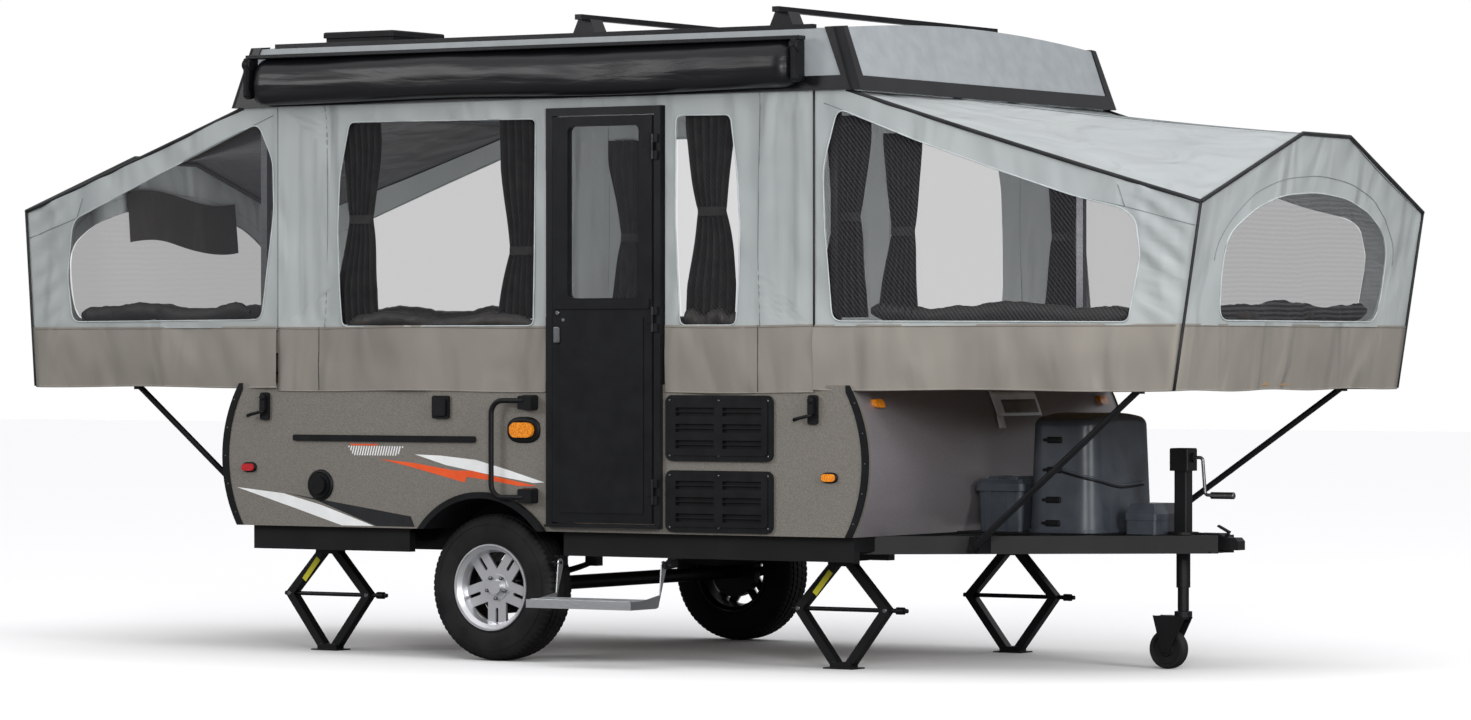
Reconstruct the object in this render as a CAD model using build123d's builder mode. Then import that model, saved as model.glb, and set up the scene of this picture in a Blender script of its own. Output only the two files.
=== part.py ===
"""Folding camper trailer, set up for camping: roof raised, both bunk ends out, standing on
its wheels, its tongue jack and four corner jacks.

Frame: the origin is the centre of the tow ball in the coupler, +X points forwards to the tow
vehicle, +Y to the trailer's left, +Z up. The entrance is on the right, at -Y. Millimetres.
"""
import os
from math import atan, atan2, cos, degrees, sin

from build123d import *

os.makedirs("parts", exist_ok=True)

# Places along the trailer
ball_height = 500  # tow ball centre above the ground
tongue_length = 1140  # tow ball to the box's front panel, at its foot
box_length = 3050  # a ten foot box
box_width = 2160
axle_behind_middle = 254  # the axle, behind the middle of the box
ground = -ball_height
box_front = -tongue_length
box_rear = box_front - box_length
mid = (box_front + box_rear) / 2  # the middle of the box
half_width = box_width / 2

# Box body
deck_height = 545  # chassis top above the ground
chassis_top = ground + deck_height
wall = 22
side_height = 605
end_bulge = 78  # how far the curved end panels stand out at half height
end_top_in = 12  # the ends' top edge, behind their foot
floor_thickness = 20
wall_top = chassis_top + side_height
floor_top = chassis_top + floor_thickness
seat = 0.3  # gap of a piece that only rests against another

# Wheels
tyre_radius = 305
rim_radius = 180
track = 1875
axle_x = mid - axle_behind_middle
axle_z = ground + tyre_radius
spindle_radius = 20
spindle_gap = 0.05
arch_radius = 372
arch_skin = 8
arch_flare = 26
well_inner_y = track / 2 - 137.5

# Chassis
rail_height = 100
rail_width = 50
rail_y = track / 2 - 192.5  # middle of each main rail, over the springs
sill_y = half_width - 65
sill_width = 40
aframe_height = 72
aframe_width = 50
aframe_root_y = half_width - 200
aframe_root_x = box_front - 60
aframe_tip_y = 62
aframe_tip_x = -60

# Roof
roof_bottom = 2323 + ground
roof_half_width = half_width + 13
roof_half_length = box_length / 2 + 33
roof_corner_rise = 247
roof_crown = 50
roof_slant = 88
roof_skin = 26
roof_corner_radius = 34
trim_skin = 6
band_height = 58
strip_width = 74

# Canvas
cloth = 4
hem = 30  # how far the canvas hangs over the box's side
cloth_y = half_width + seat

bunk_tent_half = half_width - 80
# Bunk ends: name, direction along X, reach past the box, lean of the end wall, end half width,
# shoulder height, peak height, peak half width, overlap inside the box, slide travel
BUNKS = {
    "front": dict(way=1, reach=1398, lean=0.16, half=bunk_tent_half, shoulder=1857, peak=2143, peak_half=214,
                  inside=118, travel=1380),
    "rear": dict(way=-1, reach=1180, lean=0.07, half=bunk_tent_half, shoulder=1900, peak=2160, peak_half=214,
                 inside=118, travel=1160),
}
bunk_half_width = bunk_tent_half - 35
bunk_board = 36
bunk_side_rail = 46
mattress_thickness = 95
bow_radius = 9.5
platform_bottom = wall_top + seat

# Door
door_x0 = mid + 112
door_x1 = mid + 598
door_bottom = ground + 585
door_top = ground + 2245
door_thickness = 34
door_frame_width = 32
door_gap = 5
door_outer = half_width + 26
hinge_radius = 7


def keep(part, name):
    """Labels one finished piece and writes it as a node."""
    part.label = name
    export_step(part, f"parts/{name}.step")


def slab(x0, x1, y0, y1, z0, z1, mode=Mode.ADD):
    """A straight bar or sheet between two corners."""
    with Locations(((x0 + x1) / 2, (y0 + y1) / 2, (z0 + z1) / 2)):
        Box(abs(x1 - x0), abs(y1 - y0), abs(z1 - z0), mode=mode)


def along_y(x, y0, y1, z, radius, mode=Mode.ADD):
    """A round bar or hole across the trailer."""
    with Locations(Location((x, (y0 + y1) / 2, z), (90, 0, 0))):
        Cylinder(radius, abs(y1 - y0), mode=mode)


def upright(x, y, z0, z1, radius, mode=Mode.ADD):
    """A round bar or hole standing up."""
    with Locations((x, y, (z0 + z1) / 2)):
        Cylinder(radius, abs(z1 - z0), mode=mode)


def tube_between(start, end, radius, mode=Mode.ADD):
    """A round bar from one point to another."""
    a, b = Vector(*start), Vector(*end)
    with BuildPart(mode=Mode.PRIVATE) as bar:
        with BuildSketch(Plane(origin=a, z_dir=b - a)):
            Circle(radius)
        extrude(amount=(b - a).length)
    add(bar.part, mode=mode)


def side_outline(inset=0.0):
    """The box's side view, its two ends curved, taken in all round by inset."""
    low, high = chassis_top, wall_top
    half_height = (low + high) / 2
    with BuildSketch() as outline:
        with BuildLine():
            foot_front = (box_front - inset, low)
            foot_rear = (box_rear + inset, low)
            head_front = (box_front - end_top_in - inset, high)
            head_rear = (box_rear + end_top_in + inset, high)
            Line(foot_rear, foot_front)
            ThreePointArc(foot_front, (box_front + end_bulge - inset, half_height), head_front)
            Line(head_front, head_rear)
            ThreePointArc(head_rear, (box_rear - end_bulge + inset, half_height), foot_rear)
        make_face()
    return outline.sketch


# Chassis: main rails, sills, cross members and the drawbar, one weldment
drawbar = Vector(aframe_tip_x - aframe_root_x, aframe_tip_y - aframe_root_y)
drawbar_angle = degrees(atan2(drawbar.Y, drawbar.X))
rail_bottom = chassis_top - rail_height
frame_front = box_front - 12
frame_rear = box_rear + 50
sill_gap = arch_radius + 32
cross_members = (frame_rear + 25, axle_x - 480, axle_x + 480, mid + 1000, frame_front - 25)
jack_tube_radius = 28.5
strut_pin_radius = 7
strut_gap = 12  # from the strut's middle to its bracket
strut_pivot_z = chassis_top - 45
cover_x = box_front + 495  # the gas bottle cover
battery_x, battery_y = box_front + 204, -150


def aframe_y(x):
    """How far out the middle of each drawbar rail is at a place along the trailer."""
    return aframe_root_y + (aframe_tip_y - aframe_root_y) * (x - aframe_root_x) / (aframe_tip_x - aframe_root_x)


strut_pivot_front = (box_front + 345, aframe_y(box_front + 345) + 125, strut_pivot_z)
strut_pivot_rear = (box_rear - 85, rail_y - 85, strut_pivot_z)
tongue_jack_x = box_front + 918
with BuildPart() as chassis_frame:
    for side in (-1, 1):
        slab(frame_rear, frame_front, side * (rail_y - rail_width / 2), side * (rail_y + rail_width / 2),
             rail_bottom, chassis_top)
        for x0, x1 in ((frame_rear, axle_x - sill_gap), (axle_x + sill_gap - 30, frame_front)):
            slab(x0, x1, side * (sill_y - sill_width / 2), side * (sill_y + sill_width / 2),
                 rail_bottom, chassis_top)
        with BuildSketch(Plane.XY.offset(chassis_top - aframe_height)):
            with Locations(Location(((aframe_root_x + aframe_tip_x) / 2,
                                     side * (aframe_root_y + aframe_tip_y) / 2, 0),
                                    (0, 0, side * drawbar_angle))):
                Rectangle(drawbar.length + 40, aframe_width)
        extrude(amount=aframe_height)
        # bracket that carries the bunk strut's foot
        px, py, pz = strut_pivot_front
        slab(px - 22, px + 22, side * (py - 125), side * (py - strut_gap), pz - 24, chassis_top)
        px, py, pz = strut_pivot_rear
        slab(px - 18, frame_rear + 10, side * (py - 60), side * (py - strut_gap), pz - 24, pz + 24)
    for x in cross_members:
        slab(x - 25, x + 25, -sill_y, sill_y, chassis_top - 60, chassis_top)
    # tongue plate that carries the jack, and the tie across the drawbar
    slab(tongue_jack_x - 75, aframe_tip_x + 7.7, -95, 95, chassis_top - aframe_height,
         chassis_top - aframe_height + 8)
    slab(tongue_jack_x - 75, tongue_jack_x + 75, -120, 120, chassis_top - 8, chassis_top)
    slab(cover_x - 60, cover_x - 20, -aframe_y(cover_x) - 15, aframe_y(cover_x) + 15,
         chassis_top - aframe_height, chassis_top)
    slab(battery_x - 39, battery_x + 1, -aframe_y(battery_x) - 15, aframe_y(battery_x) + 15,
         chassis_top - aframe_height, chassis_top)
    upright(tongue_jack_x, 0, chassis_top - aframe_height - 5, chassis_top + 5, jack_tube_radius + seat,
            mode=Mode.SUBTRACT)
    for side in (-1, 1):
        for px, py, pz in (strut_pivot_front, strut_pivot_rear):
            along_y(px, side * (py - strut_gap - 5), side * (py + strut_gap + 6), pz, strut_pin_radius)
            along_y(px, side * (py + strut_gap + 2), side * (py + strut_gap + 6), pz, strut_pin_radius + 5)
keep(chassis_frame.part, "chassis_frame")

# Coupler: a pressed socket that drops over the tow ball
socket_radius = 25.8
socket_wall = 6
coupler_top = chassis_top - 8
coupler_plate_x = tongue_jack_x + 80
coupler_plate_half = socket_radius + socket_wall
with BuildPart() as hitch_coupler:
    with BuildSketch(Plane.XZ.offset(-socket_radius - socket_wall)):
        with BuildLine():
            Polyline((-52, -14), (-52, coupler_top), (-20, 36), (26, 36), (40, 22), (40, -14), close=True)
        make_face()
    extrude(amount=2 * (socket_radius + socket_wall))
    # the channel's top, lying over the drawbar's tips
    with BuildSketch(Plane.XZ.offset(-coupler_plate_half)):
        Polygon((coupler_plate_x, chassis_top + seat), (coupler_plate_x, chassis_top + 8),
                (-46, chassis_top + 8), (-16, 36),
                (-52, 34), (-52, chassis_top + seat), align=None)
    extrude(amount=2 * coupler_plate_half)
    upright(0, 0, -20, 0, socket_radius, mode=Mode.SUBTRACT)
    Sphere(socket_radius, mode=Mode.SUBTRACT)
    # latch lever on top
    with BuildSketch(Plane.XZ.offset(-9)):
        Polygon((-26, 33), (-10, 60), (-62, 86), (-66, 79), (-22, 56), (-38, 33), align=None)
    extrude(amount=18)
keep(hitch_coupler.part, "hitch_coupler")

# Axle: straight beam on leaf springs, with a spindle and brake drum at each end
beam_radius = 30
drum_outer_y = track / 2 - 26
spring_y = rail_y
spring_half_length = 330
with BuildPart() as axle_beam:
    along_y(axle_x, -drum_outer_y + 40, drum_outer_y - 40, axle_z, beam_radius)
    for side in (-1, 1):
        along_y(axle_x, side * (drum_outer_y - 46), side * drum_outer_y, axle_z, 112)
        along_y(axle_x, side * drum_outer_y, side * (track / 2 + 20), axle_z, spindle_radius)
keep(axle_beam.part, "axle_beam")

spring_eye_z = rail_bottom - 40
with BuildPart() as leaf_springs:
    for side in (-1, 1):
        with BuildSketch(Plane.XZ.offset(-side * spring_y - 22)):
            with BuildLine():
                low = axle_z + beam_radius + seat
                ends = [(axle_x - spring_half_length, spring_eye_z),
                        (axle_x + spring_half_length, spring_eye_z)]
                ThreePointArc(ends[0], (axle_x, low), ends[1])
                Line(ends[1], (ends[1][0], spring_eye_z + 14))
                ThreePointArc((ends[1][0], spring_eye_z + 14), (axle_x, low + 26),
                              (ends[0][0], spring_eye_z + 14))
                Line((ends[0][0], spring_eye_z + 14), ends[0])
            make_face()
        extrude(amount=44)
        for x, _ in ends:
            slab(x - 28, x + 28, side * spring_y - 24, side * spring_y + 24, spring_eye_z - 12, rail_bottom)
keep(leaf_springs.part, "leaf_springs")

# Floor, notched for the wheel wells
notch = arch_radius + arch_skin + seat
with BuildPart() as box_floor:
    with BuildSketch(Plane.XY.offset(chassis_top)):
        with Locations((mid, 0)):
            Rectangle(box_length - 2 * wall - 2 * end_top_in, box_width - 2 * wall)
        with Locations((axle_x, 0)):
            for side in (-1, 1):
                with Locations((0, side * (half_width + well_inner_y) / 2)):
                    Rectangle(2 * notch, half_width - well_inner_y + 2 * seat, mode=Mode.SUBTRACT)
    extrude(amount=floor_thickness)
keep(box_floor.part, "box_floor")

# Side walls, with the wheel arch and, on the right, the doorway cut
doorway = (door_x0 - door_gap - door_frame_width, door_x1 + door_gap + door_frame_width)


def side_wall(side, with_door):
    with BuildPart() as panel:
        with BuildSketch(Plane.XZ.offset(-side * half_width if side > 0 else half_width - wall)):
            add(side_outline())
            with Locations((axle_x, axle_z)):
                Circle(arch_radius + arch_skin, mode=Mode.SUBTRACT)
            if with_door:
                with Locations((sum(doorway) / 2, (door_bottom + wall_top) / 2)):
                    Rectangle(doorway[1] - doorway[0], wall_top - door_bottom + 2 * door_gap + 30,
                              mode=Mode.SUBTRACT)
        extrude(amount=wall)
    return panel.part


keep(side_wall(-1, True), "side_wall_right")
keep(side_wall(1, False), "side_wall_left")


def end_wall(front):
    """A curved end panel, between the side walls."""
    with BuildPart() as panel:
        with BuildSketch(Plane.XZ.offset(wall - half_width)):
            add(side_outline())
            add(side_outline(wall), mode=Mode.SUBTRACT)
            with Locations((mid, (chassis_top + wall_top) / 2)):
                Rectangle(box_length - 2 * wall - 2 * end_top_in, side_height + 10, mode=Mode.SUBTRACT)
        extrude(amount=box_width - 2 * wall)
    return panel.part.solids().sort_by(Axis.X)[-1 if front else 0]


keep(end_wall(True), "front_wall")
keep(end_wall(False), "rear_wall")

# Black trims over the curved corners of the box
corner_cover = 28
with BuildPart() as corner_trims:
    for side in (-1, 1):
        with BuildSketch(Plane.XZ.offset(-side * half_width if side < 0 else -half_width - 5)):
            add(side_outline(-5))
            add(side_outline(corner_cover), mode=Mode.SUBTRACT)
            with Locations((mid, (chassis_top + wall_top) / 2)):
                Rectangle(box_length - 120, side_height + 10, mode=Mode.SUBTRACT)
        extrude(amount=5)
    slab(box_rear + 24, box_front - 24, -half_width - 120, half_width + 120, wall_top - hem - 1,
         wall_top + 10, mode=Mode.SUBTRACT)
keep(corner_trims.part, "corner_trims")


# Wheels: tyre, and a pressed alloy rim on the spindle
def ring_about_axle(side, points):
    """Turns a closed outline of (radius, distance outwards) about the axle."""
    with BuildPart() as ring:
        with BuildSketch(Plane(origin=(axle_x, side * track / 2, axle_z))):
            Polygon(*[(radius, side * out) for radius, out in points], align=None)
        revolve(axis=Axis((axle_x, 0, axle_z), (0, 1, 0)))
    return ring.part


tyre_outline = [(rim_radius - 15, -68), (rim_radius + 2, -84), (232, -95), (274, -88), (298, -76), (305, -56),
                (305, 56), (298, 76), (274, 88), (232, 95), (rim_radius + 2, 84), (rim_radius - 15, 68),
                (rim_radius + 2, 62), (232, 80), (270, 74), (286, 60), (286, -60), (270, -74), (232, -80),
                (rim_radius + 2, -62)]
rim_barrel = [(rim_radius - 16, -68.5), (rim_radius + 1, -84.5), (rim_radius, -92), (rim_radius - 6, -92),
              (rim_radius - 8, -84), (rim_radius - 24, -70), (rim_radius - 34, -20), (rim_radius - 34, 30),
              (rim_radius - 24, 70), (rim_radius - 8, 84), (rim_radius - 6, 92), (rim_radius, 92),
              (rim_radius + 1, 84.5), (rim_radius - 16, 68.5), (rim_radius - 27, 30), (rim_radius - 27, -20)]
disc_out = 40  # the spokes' face, outwards from the tyre's middle
disc_thickness = 16
hub_radius = 62
cap_radius = 30
spoke_count = 5


def rim(side):
    """An alloy rim with five split spokes and its hub bore."""
    with BuildPart() as wheel:
        add(ring_about_axle(side, rim_barrel))
        disc_y = side * (track / 2 + disc_out - disc_thickness)
        with BuildSketch(Plane(origin=(axle_x, disc_y, axle_z), x_dir=(1, 0, 0), z_dir=(0, side, 0))):
            Circle(rim_radius - 29)
            # wide window between two spokes, then the narrow slot that splits each spoke
            with PolarLocations(0, spoke_count, start_angle=90):
                Polygon((hub_radius + 14, 0), (rim_radius - 40, 46), (rim_radius - 34, 30),
                        (rim_radius - 33, 0),
                        (rim_radius - 34, -30), (rim_radius - 40, -46), align=None, mode=Mode.SUBTRACT)
            with PolarLocations(0, spoke_count, start_angle=90 + 180 / spoke_count):
                with Locations(((hub_radius + rim_radius) / 2 - 4, 0)):
                    SlotOverall(62, 14, mode=Mode.SUBTRACT)
        extrude(amount=disc_thickness)
        along_y(axle_x, side * (track / 2 - 25.5), side * (track / 2 + disc_out + 4), axle_z, hub_radius - 8)
        along_y(axle_x, side * (track / 2 + disc_out), side * (track / 2 + disc_out + 22), axle_z, cap_radius)
        along_y(axle_x, side * (track / 2 - 60), side * (track / 2 + 22), axle_z,
                spindle_radius + spindle_gap,
                mode=Mode.SUBTRACT)
    return wheel.part


for side, name in ((-1, "right"), (1, "left")):
    keep(ring_about_axle(side, tyre_outline), f"tyre_{name}")
    keep(rim(side), f"rim_{name}")

# Wheel wells: black tubs inside the box, with a lip that shows round each arch
with BuildPart() as wheel_wells:
    for side in (-1, 1):
        with BuildPart(mode=Mode.PRIVATE) as well:
            along_y(axle_x, side * well_inner_y, side * (half_width + arch_flare), axle_z,
                    arch_radius + arch_skin - seat)
            along_y(axle_x, side * (half_width + seat), side * (half_width + arch_flare), axle_z,
                    arch_radius + 26)
            along_y(axle_x, side * (well_inner_y + arch_skin), side * (half_width + 60), axle_z, arch_radius,
                    mode=Mode.SUBTRACT)
            slab(axle_x - 600, axle_x + 600, 0, side * 1300, axle_z - 700, chassis_top, mode=Mode.SUBTRACT)
        add(well.part)
keep(wheel_wells.part, "wheel_wells")


# Roof: a raised fibreglass shell, its sides and ends leaning in, arched across the top
def roof_solid(grow):
    """The roof's outer form, grown outwards by the given amount."""
    top = roof_bottom + roof_corner_rise
    end_lean = roof_slant / roof_corner_rise
    side_lean = 18 / roof_corner_rise
    tall = top + roof_crown + 30
    end_at_top = roof_half_length + grow - end_lean * (tall - roof_bottom)
    side_at_top = roof_half_width + grow - side_lean * (top - roof_bottom)
    with BuildPart(mode=Mode.PRIVATE) as form:
        with BuildSketch(Plane.XZ.offset(-2000)):
            Polygon((mid - roof_half_length - grow, roof_bottom),
                    (mid + roof_half_length + grow, roof_bottom),
                    (mid + end_at_top, tall), (mid - end_at_top, tall), align=None)
        extrude(amount=4000)
        with BuildSketch(Plane.YZ.offset(mid - 2500)):
            with BuildLine():
                Polyline((-side_at_top, top + grow), (-roof_half_width - grow, roof_bottom),
                         (roof_half_width + grow, roof_bottom), (side_at_top, top + grow))
                ThreePointArc((side_at_top, top + grow), (0, top + roof_crown + grow),
                              (-side_at_top, top + grow))
            make_face()
        extrude(amount=5000, mode=Mode.INTERSECT)
        uprights = [edge for edge in form.edges()
                    if abs(edge.tangent_at(0.5).Z) > 0.8 and edge.length > 200]
        fillet(uprights, roof_corner_radius)
    return form.part


vent_x = box_rear + 445
vent_y = -(half_width - 440)
vent_half = 175
with BuildPart() as roof_shell:
    add(roof_solid(0))
    add(roof_solid(-roof_skin).moved(Location((0, 0, -seat))), mode=Mode.SUBTRACT)
    slab(mid - roof_half_length + 58, mid + roof_half_length - 58, 93 - roof_half_width, roof_half_width - 93,
         roof_bottom - 5, roof_bottom + 30, mode=Mode.SUBTRACT)
    slab(vent_x - vent_half + 24, vent_x + vent_half - 24, vent_y - vent_half + 24, vent_y + vent_half - 24,
         roof_bottom + roof_corner_rise - 60, roof_bottom + roof_corner_rise + 80, mode=Mode.SUBTRACT)
keep(roof_shell.part, "roof_shell")

# Black roof trims: the lower rail all round and a post up each corner
roof_top_edge = roof_bottom + roof_corner_rise
with BuildPart() as roof_trims:
    add(roof_solid(trim_skin))
    add(roof_solid(seat), mode=Mode.SUBTRACT)
    # left bare: the sides and top between the hoops, and the middle of each end
    with BuildSketch(Plane.XZ.offset(-2000)):
        bare_half = roof_half_length - strip_width
        bare_top_half = bare_half - roof_slant * 1.5
        Polygon((mid - bare_half, roof_bottom + band_height), (mid + bare_half, roof_bottom + band_height),
                (mid + bare_top_half, roof_bottom + 1.5 * roof_corner_rise),
                (mid - bare_top_half, roof_bottom + 1.5 * roof_corner_rise), align=None)
    extrude(amount=4000, mode=Mode.SUBTRACT)
    slab(mid - 2000, mid + 2000, -roof_half_width + strip_width, roof_half_width - strip_width,
         roof_bottom + band_height, roof_top_edge + 200, mode=Mode.SUBTRACT)
    slab(mid - 2000, mid + 2000, -1500, 1500, roof_bottom - 30, roof_bottom - 0.01, mode=Mode.SUBTRACT)
keep(roof_trims.part, "roof_trims")

# Long black rails on the roof's top edges, between the hoops
with BuildPart() as roof_side_rails:
    for side in (-1, 1):
        y = side * (roof_half_width - 40)
        slab(mid - roof_half_length + 220, mid + roof_half_length - 220, y - 16, y + 16,
             roof_top_edge - 6, roof_top_edge + 20)
    add(roof_solid(seat), mode=Mode.SUBTRACT)
keep(roof_side_rails.part, "roof_side_rails")

# Roof vent near the right rear: a fixed frame and a hinged lid


def roof_height(y):
    """The roof's outer surface above its middle line, by the arch across the top."""
    half = roof_half_width - 18
    radius = (half ** 2 + roof_crown ** 2) / (2 * roof_crown)
    return roof_top_edge + roof_crown - radius + (radius ** 2 - y ** 2) ** 0.5


vent_base_top = roof_height(vent_y + vent_half) + 14
with BuildPart() as roof_vent_base:
    slab(vent_x - vent_half, vent_x + vent_half, vent_y - vent_half, vent_y + vent_half,
         roof_top_edge - 30, vent_base_top)
    slab(vent_x - vent_half + 20, vent_x + vent_half - 20, vent_y - vent_half + 20, vent_y + vent_half - 20,
         roof_top_edge - 60, vent_base_top + 10, mode=Mode.SUBTRACT)
    add(roof_solid(seat), mode=Mode.SUBTRACT)
keep(roof_vent_base.part, "roof_vent_base")

lid_hinge = (vent_x - vent_half - 14, vent_base_top + 8)
with BuildPart() as roof_vent_lid:
    slab(vent_x - vent_half - 6, vent_x + vent_half + 12, vent_y - vent_half - 12, vent_y + vent_half + 12,
         vent_base_top + seat, vent_base_top + 26)
    fillet(roof_vent_lid.edges().group_by(Axis.Z)[-1], 8)
    slab(vent_x - vent_half + 2, vent_x + vent_half - 2, vent_y - vent_half + 2, vent_y + vent_half - 2,
         vent_base_top - 1, vent_base_top + 20, mode=Mode.SUBTRACT)
    along_y(lid_hinge[0], vent_y - 120, vent_y + 120, lid_hinge[1], 7)
    slab(lid_hinge[0], vent_x - vent_half, vent_y - 120, vent_y + 120, lid_hinge[1] - 4, lid_hinge[1] + 4)
    slab(vent_x - vent_half + 2, vent_x, vent_y - 130, vent_y + 130, vent_base_top - 10, vent_base_top + 20,
         mode=Mode.SUBTRACT)
keep(roof_vent_lid.part, "roof_vent_lid")

# Roof rack: two cross bars, each on a foot at either side
rack_bar_x = (mid + 100, mid + 1060)
rack_bar_z = roof_top_edge + roof_crown + 48
rack_bar_half = half_width - 180
with BuildPart() as roof_rack:
    for x in rack_bar_x:
        slab(x - 16, x + 16, -rack_bar_half, rack_bar_half, rack_bar_z - 11, rack_bar_z + 11)
        for side in (-1, 1):
            foot_y = side * (rack_bar_half - 90)
            with BuildSketch(Plane.XZ.offset(-foot_y - 45)):
                Polygon((x - 75, roof_top_edge - 10), (x + 75, roof_top_edge - 10), (x + 30, rack_bar_z - 8),
                        (x - 30, rack_bar_z - 8), align=None)
            extrude(amount=90)
    add(roof_solid(seat), mode=Mode.SUBTRACT)
rack_solids = [solid for solid in roof_rack.part.solids() if solid.center().Z > roof_top_edge]
keep(Compound(children=rack_solids), "roof_rack")

# Awning, packed in its bag along the right side of the roof
awning_x0 = box_rear + 132
awning_x1 = box_front - 234
awning_z0 = ground + 2330
awning_z1 = ground + 2530
awning_reach = 92
with BuildPart() as awning_bag:
    with BuildSketch(Plane.YZ.offset(awning_x0)):
        with BuildLine():
            back = -roof_half_width - trim_skin - seat
            lean = 14
            bottom = (back, awning_z0)
            lower_front = (back - awning_reach + 12, awning_z0 + 20)
            upper_front = (back - awning_reach + 22, awning_z1 - 46)
            top_front = (back + lean - 34, awning_z1)
            Line(bottom, lower_front)
            ThreePointArc(lower_front, (back - awning_reach, (awning_z0 + awning_z1) / 2 - 20), upper_front)
            Line(upper_front, top_front)
            Line(top_front, (back + lean, awning_z1))
            Line((back + lean, awning_z1), bottom)
        make_face()
    extrude(amount=awning_x1 - awning_x0)
    add(roof_solid(trim_skin + seat), mode=Mode.SUBTRACT)
keep(awning_bag.part, "awning_bag")

# Lift posts that hold the roof up: two telescoping tubes at each corner
post_x = box_length / 2 - 105
post_y = half_width - 58
with BuildPart() as lift_posts:
    for end in (-1, 1):
        for side in (-1, 1):
            x, y = mid + end * post_x, side * post_y
            slab(x - 22, x + 22, y - 22, y + 22, floor_top + seat, wall_top + 120)
            slab(x - 16, x + 16, y - 16, y + 16, wall_top + 100, roof_bottom + 120)
            slab(x - 45, x + 45, y - 30, y + 30, roof_bottom + 120, roof_bottom + 132)
keep(lift_posts.part, "lift_posts")


# Tent: canvas over the box between the bunk ends, and a tent over each bunk
def box_sketch(x0, x1, z0, z1):
    """A rectangle in the side view, between two corners."""
    with Locations(((x0 + x1) / 2, (z0 + z1) / 2)):
        Rectangle(x1 - x0, z1 - z0)


tent_half_length = box_length / 2 - 25
return_y = bunk_tent_half + 4
WINDOWS = {
    "right": [(-977, 8, ground + 1386, ground + 2245), (700, 985, ground + 1386, ground + 2238)],
    "left": [(-977, 8, ground + 1386, ground + 2245), (430, 985, ground + 1386, ground + 2238)],
}
tent_top = roof_bottom - seat
hem_bottom = wall_top - hem
with BuildPart() as tent_walls:
    for side, name in ((-1, "right"), (1, "left")):
        y0, y1 = side * cloth_y, side * (cloth_y + cloth)
        with BuildSketch(Plane.XZ.offset(-max(y0, y1))):
            box_sketch(mid - tent_half_length, mid + tent_half_length, hem_bottom, tent_top)
            for x0, x1, z0, z1 in WINDOWS[name]:
                with Locations((mid + (x0 + x1) / 2, (z0 + z1) / 2)):
                    RectangleRounded(x1 - x0, z1 - z0, 30, mode=Mode.SUBTRACT)
            if side < 0:
                with Locations((sum(doorway) / 2, (hem_bottom + door_top + door_frame_width) / 2)):
                    Rectangle(doorway[1] - doorway[0] + 2 * seat,
                              door_top + door_frame_width + door_gap + seat
                              - hem_bottom + 10, mode=Mode.SUBTRACT)
        extrude(amount=cloth)
        # the short returns at each end, in to the bunk tents
        for end in (-1, 1):
            x = mid + end * (tent_half_length - cloth / 2)
            slab(x - cloth / 2, x + cloth / 2, side * return_y, side * (cloth_y + cloth), wall_top + seat,
                 tent_top)
keep(tent_walls.part, "tent_walls")


def bunk_form(bunk, inset):
    """A bunk tent's outer form, taken in by inset: from the box's end out to the leaning end wall."""
    way = bunk["way"]
    box_end = mid + way * box_length / 2
    start = mid + way * (tent_half_length + 1)
    base = wall_top + seat
    reach = box_end + way * (bunk["reach"] - inset)
    half = bunk["half"] - inset
    shoulder = ground + bunk["shoulder"] - inset
    peak = ground + bunk["peak"] - inset
    peak_half = bunk["peak_half"]
    lean = atan(bunk["lean"])
    stretch = 1 / cos(lean)
    top = roof_bottom - seat - inset
    low = base - (10 if inset else 0)
    first = start - way * (6 if inset else 0)
    with BuildPart(mode=Mode.PRIVATE) as form:
        with BuildSketch(Plane(origin=(first, 0, low), x_dir=(0, 1, 0), z_dir=(way, 0, 0))):
            rise = way * (top - low)
            Polygon((-half, 0), (half, 0), (half, rise), (peak_half, rise + way * 0.01),
                    (-peak_half, rise + way * 0.01),
                    (-half, rise), align=None)
        with BuildSketch(Plane(origin=(reach, 0, low), x_dir=(0, 1, 0),
                               z_dir=(way * cos(lean), 0, -sin(lean)))):
            rise = way * (shoulder - low) * stretch
            high = way * (peak - low) * stretch
            Polygon((-half, 0), (half, 0), (half, rise), (peak_half, high), (-peak_half, high), (-half, rise),
                    align=None)
        loft(ruled=True)
    return form.part


# bunk windows in the side view: corners as (distance out from the box's middle, height)
SIDE_WINDOWS = {
    "front": [(1440, 1409), (2690, 1413), (2660, 1849), (1440, 2225)],
    "rear": [(1440, 1440), (2495, 1431), (2467, 1869), (1486, 2235)],
}
# the end window: bottom height and half width, shoulder, top
END_WINDOWS = {
    "front": [(-705, 1380), (705, 1380), (725, 1745), (212, 1905), (-212, 1905), (-725, 1745)],
    "rear": [(-705, 1400), (705, 1400), (725, 1765), (212, 1925), (-212, 1925), (-725, 1765)],
}


def bunk_tent(name):
    """The canvas over one bunk, its side and end windows cut out."""
    bunk = BUNKS[name]
    way = bunk["way"]
    box_end = mid + way * box_length / 2
    with BuildPart() as tent:
        add(bunk_form(bunk, 0))
        add(bunk_form(bunk, cloth), mode=Mode.SUBTRACT)
        with BuildSketch(Plane.XZ.offset(-1500)):
            points = [(mid + way * max(x, 1530), ground + z) for x, z in SIDE_WINDOWS[name]]
            Polygon(*points, align=None)
        extrude(amount=3000, mode=Mode.SUBTRACT)
        with BuildSketch(Plane(origin=(box_end + way * 1250, 0, ground), x_dir=(0, 1, 0), z_dir=(way, 0, 0))):
            Polygon(*[(y, way * z) for y, z in END_WINDOWS[name]], align=None)
        extrude(amount=600, mode=Mode.SUBTRACT)
    return tent.part


for name in BUNKS:
    keep(bunk_tent(name), f"tent_bunk_{name}")


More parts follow.
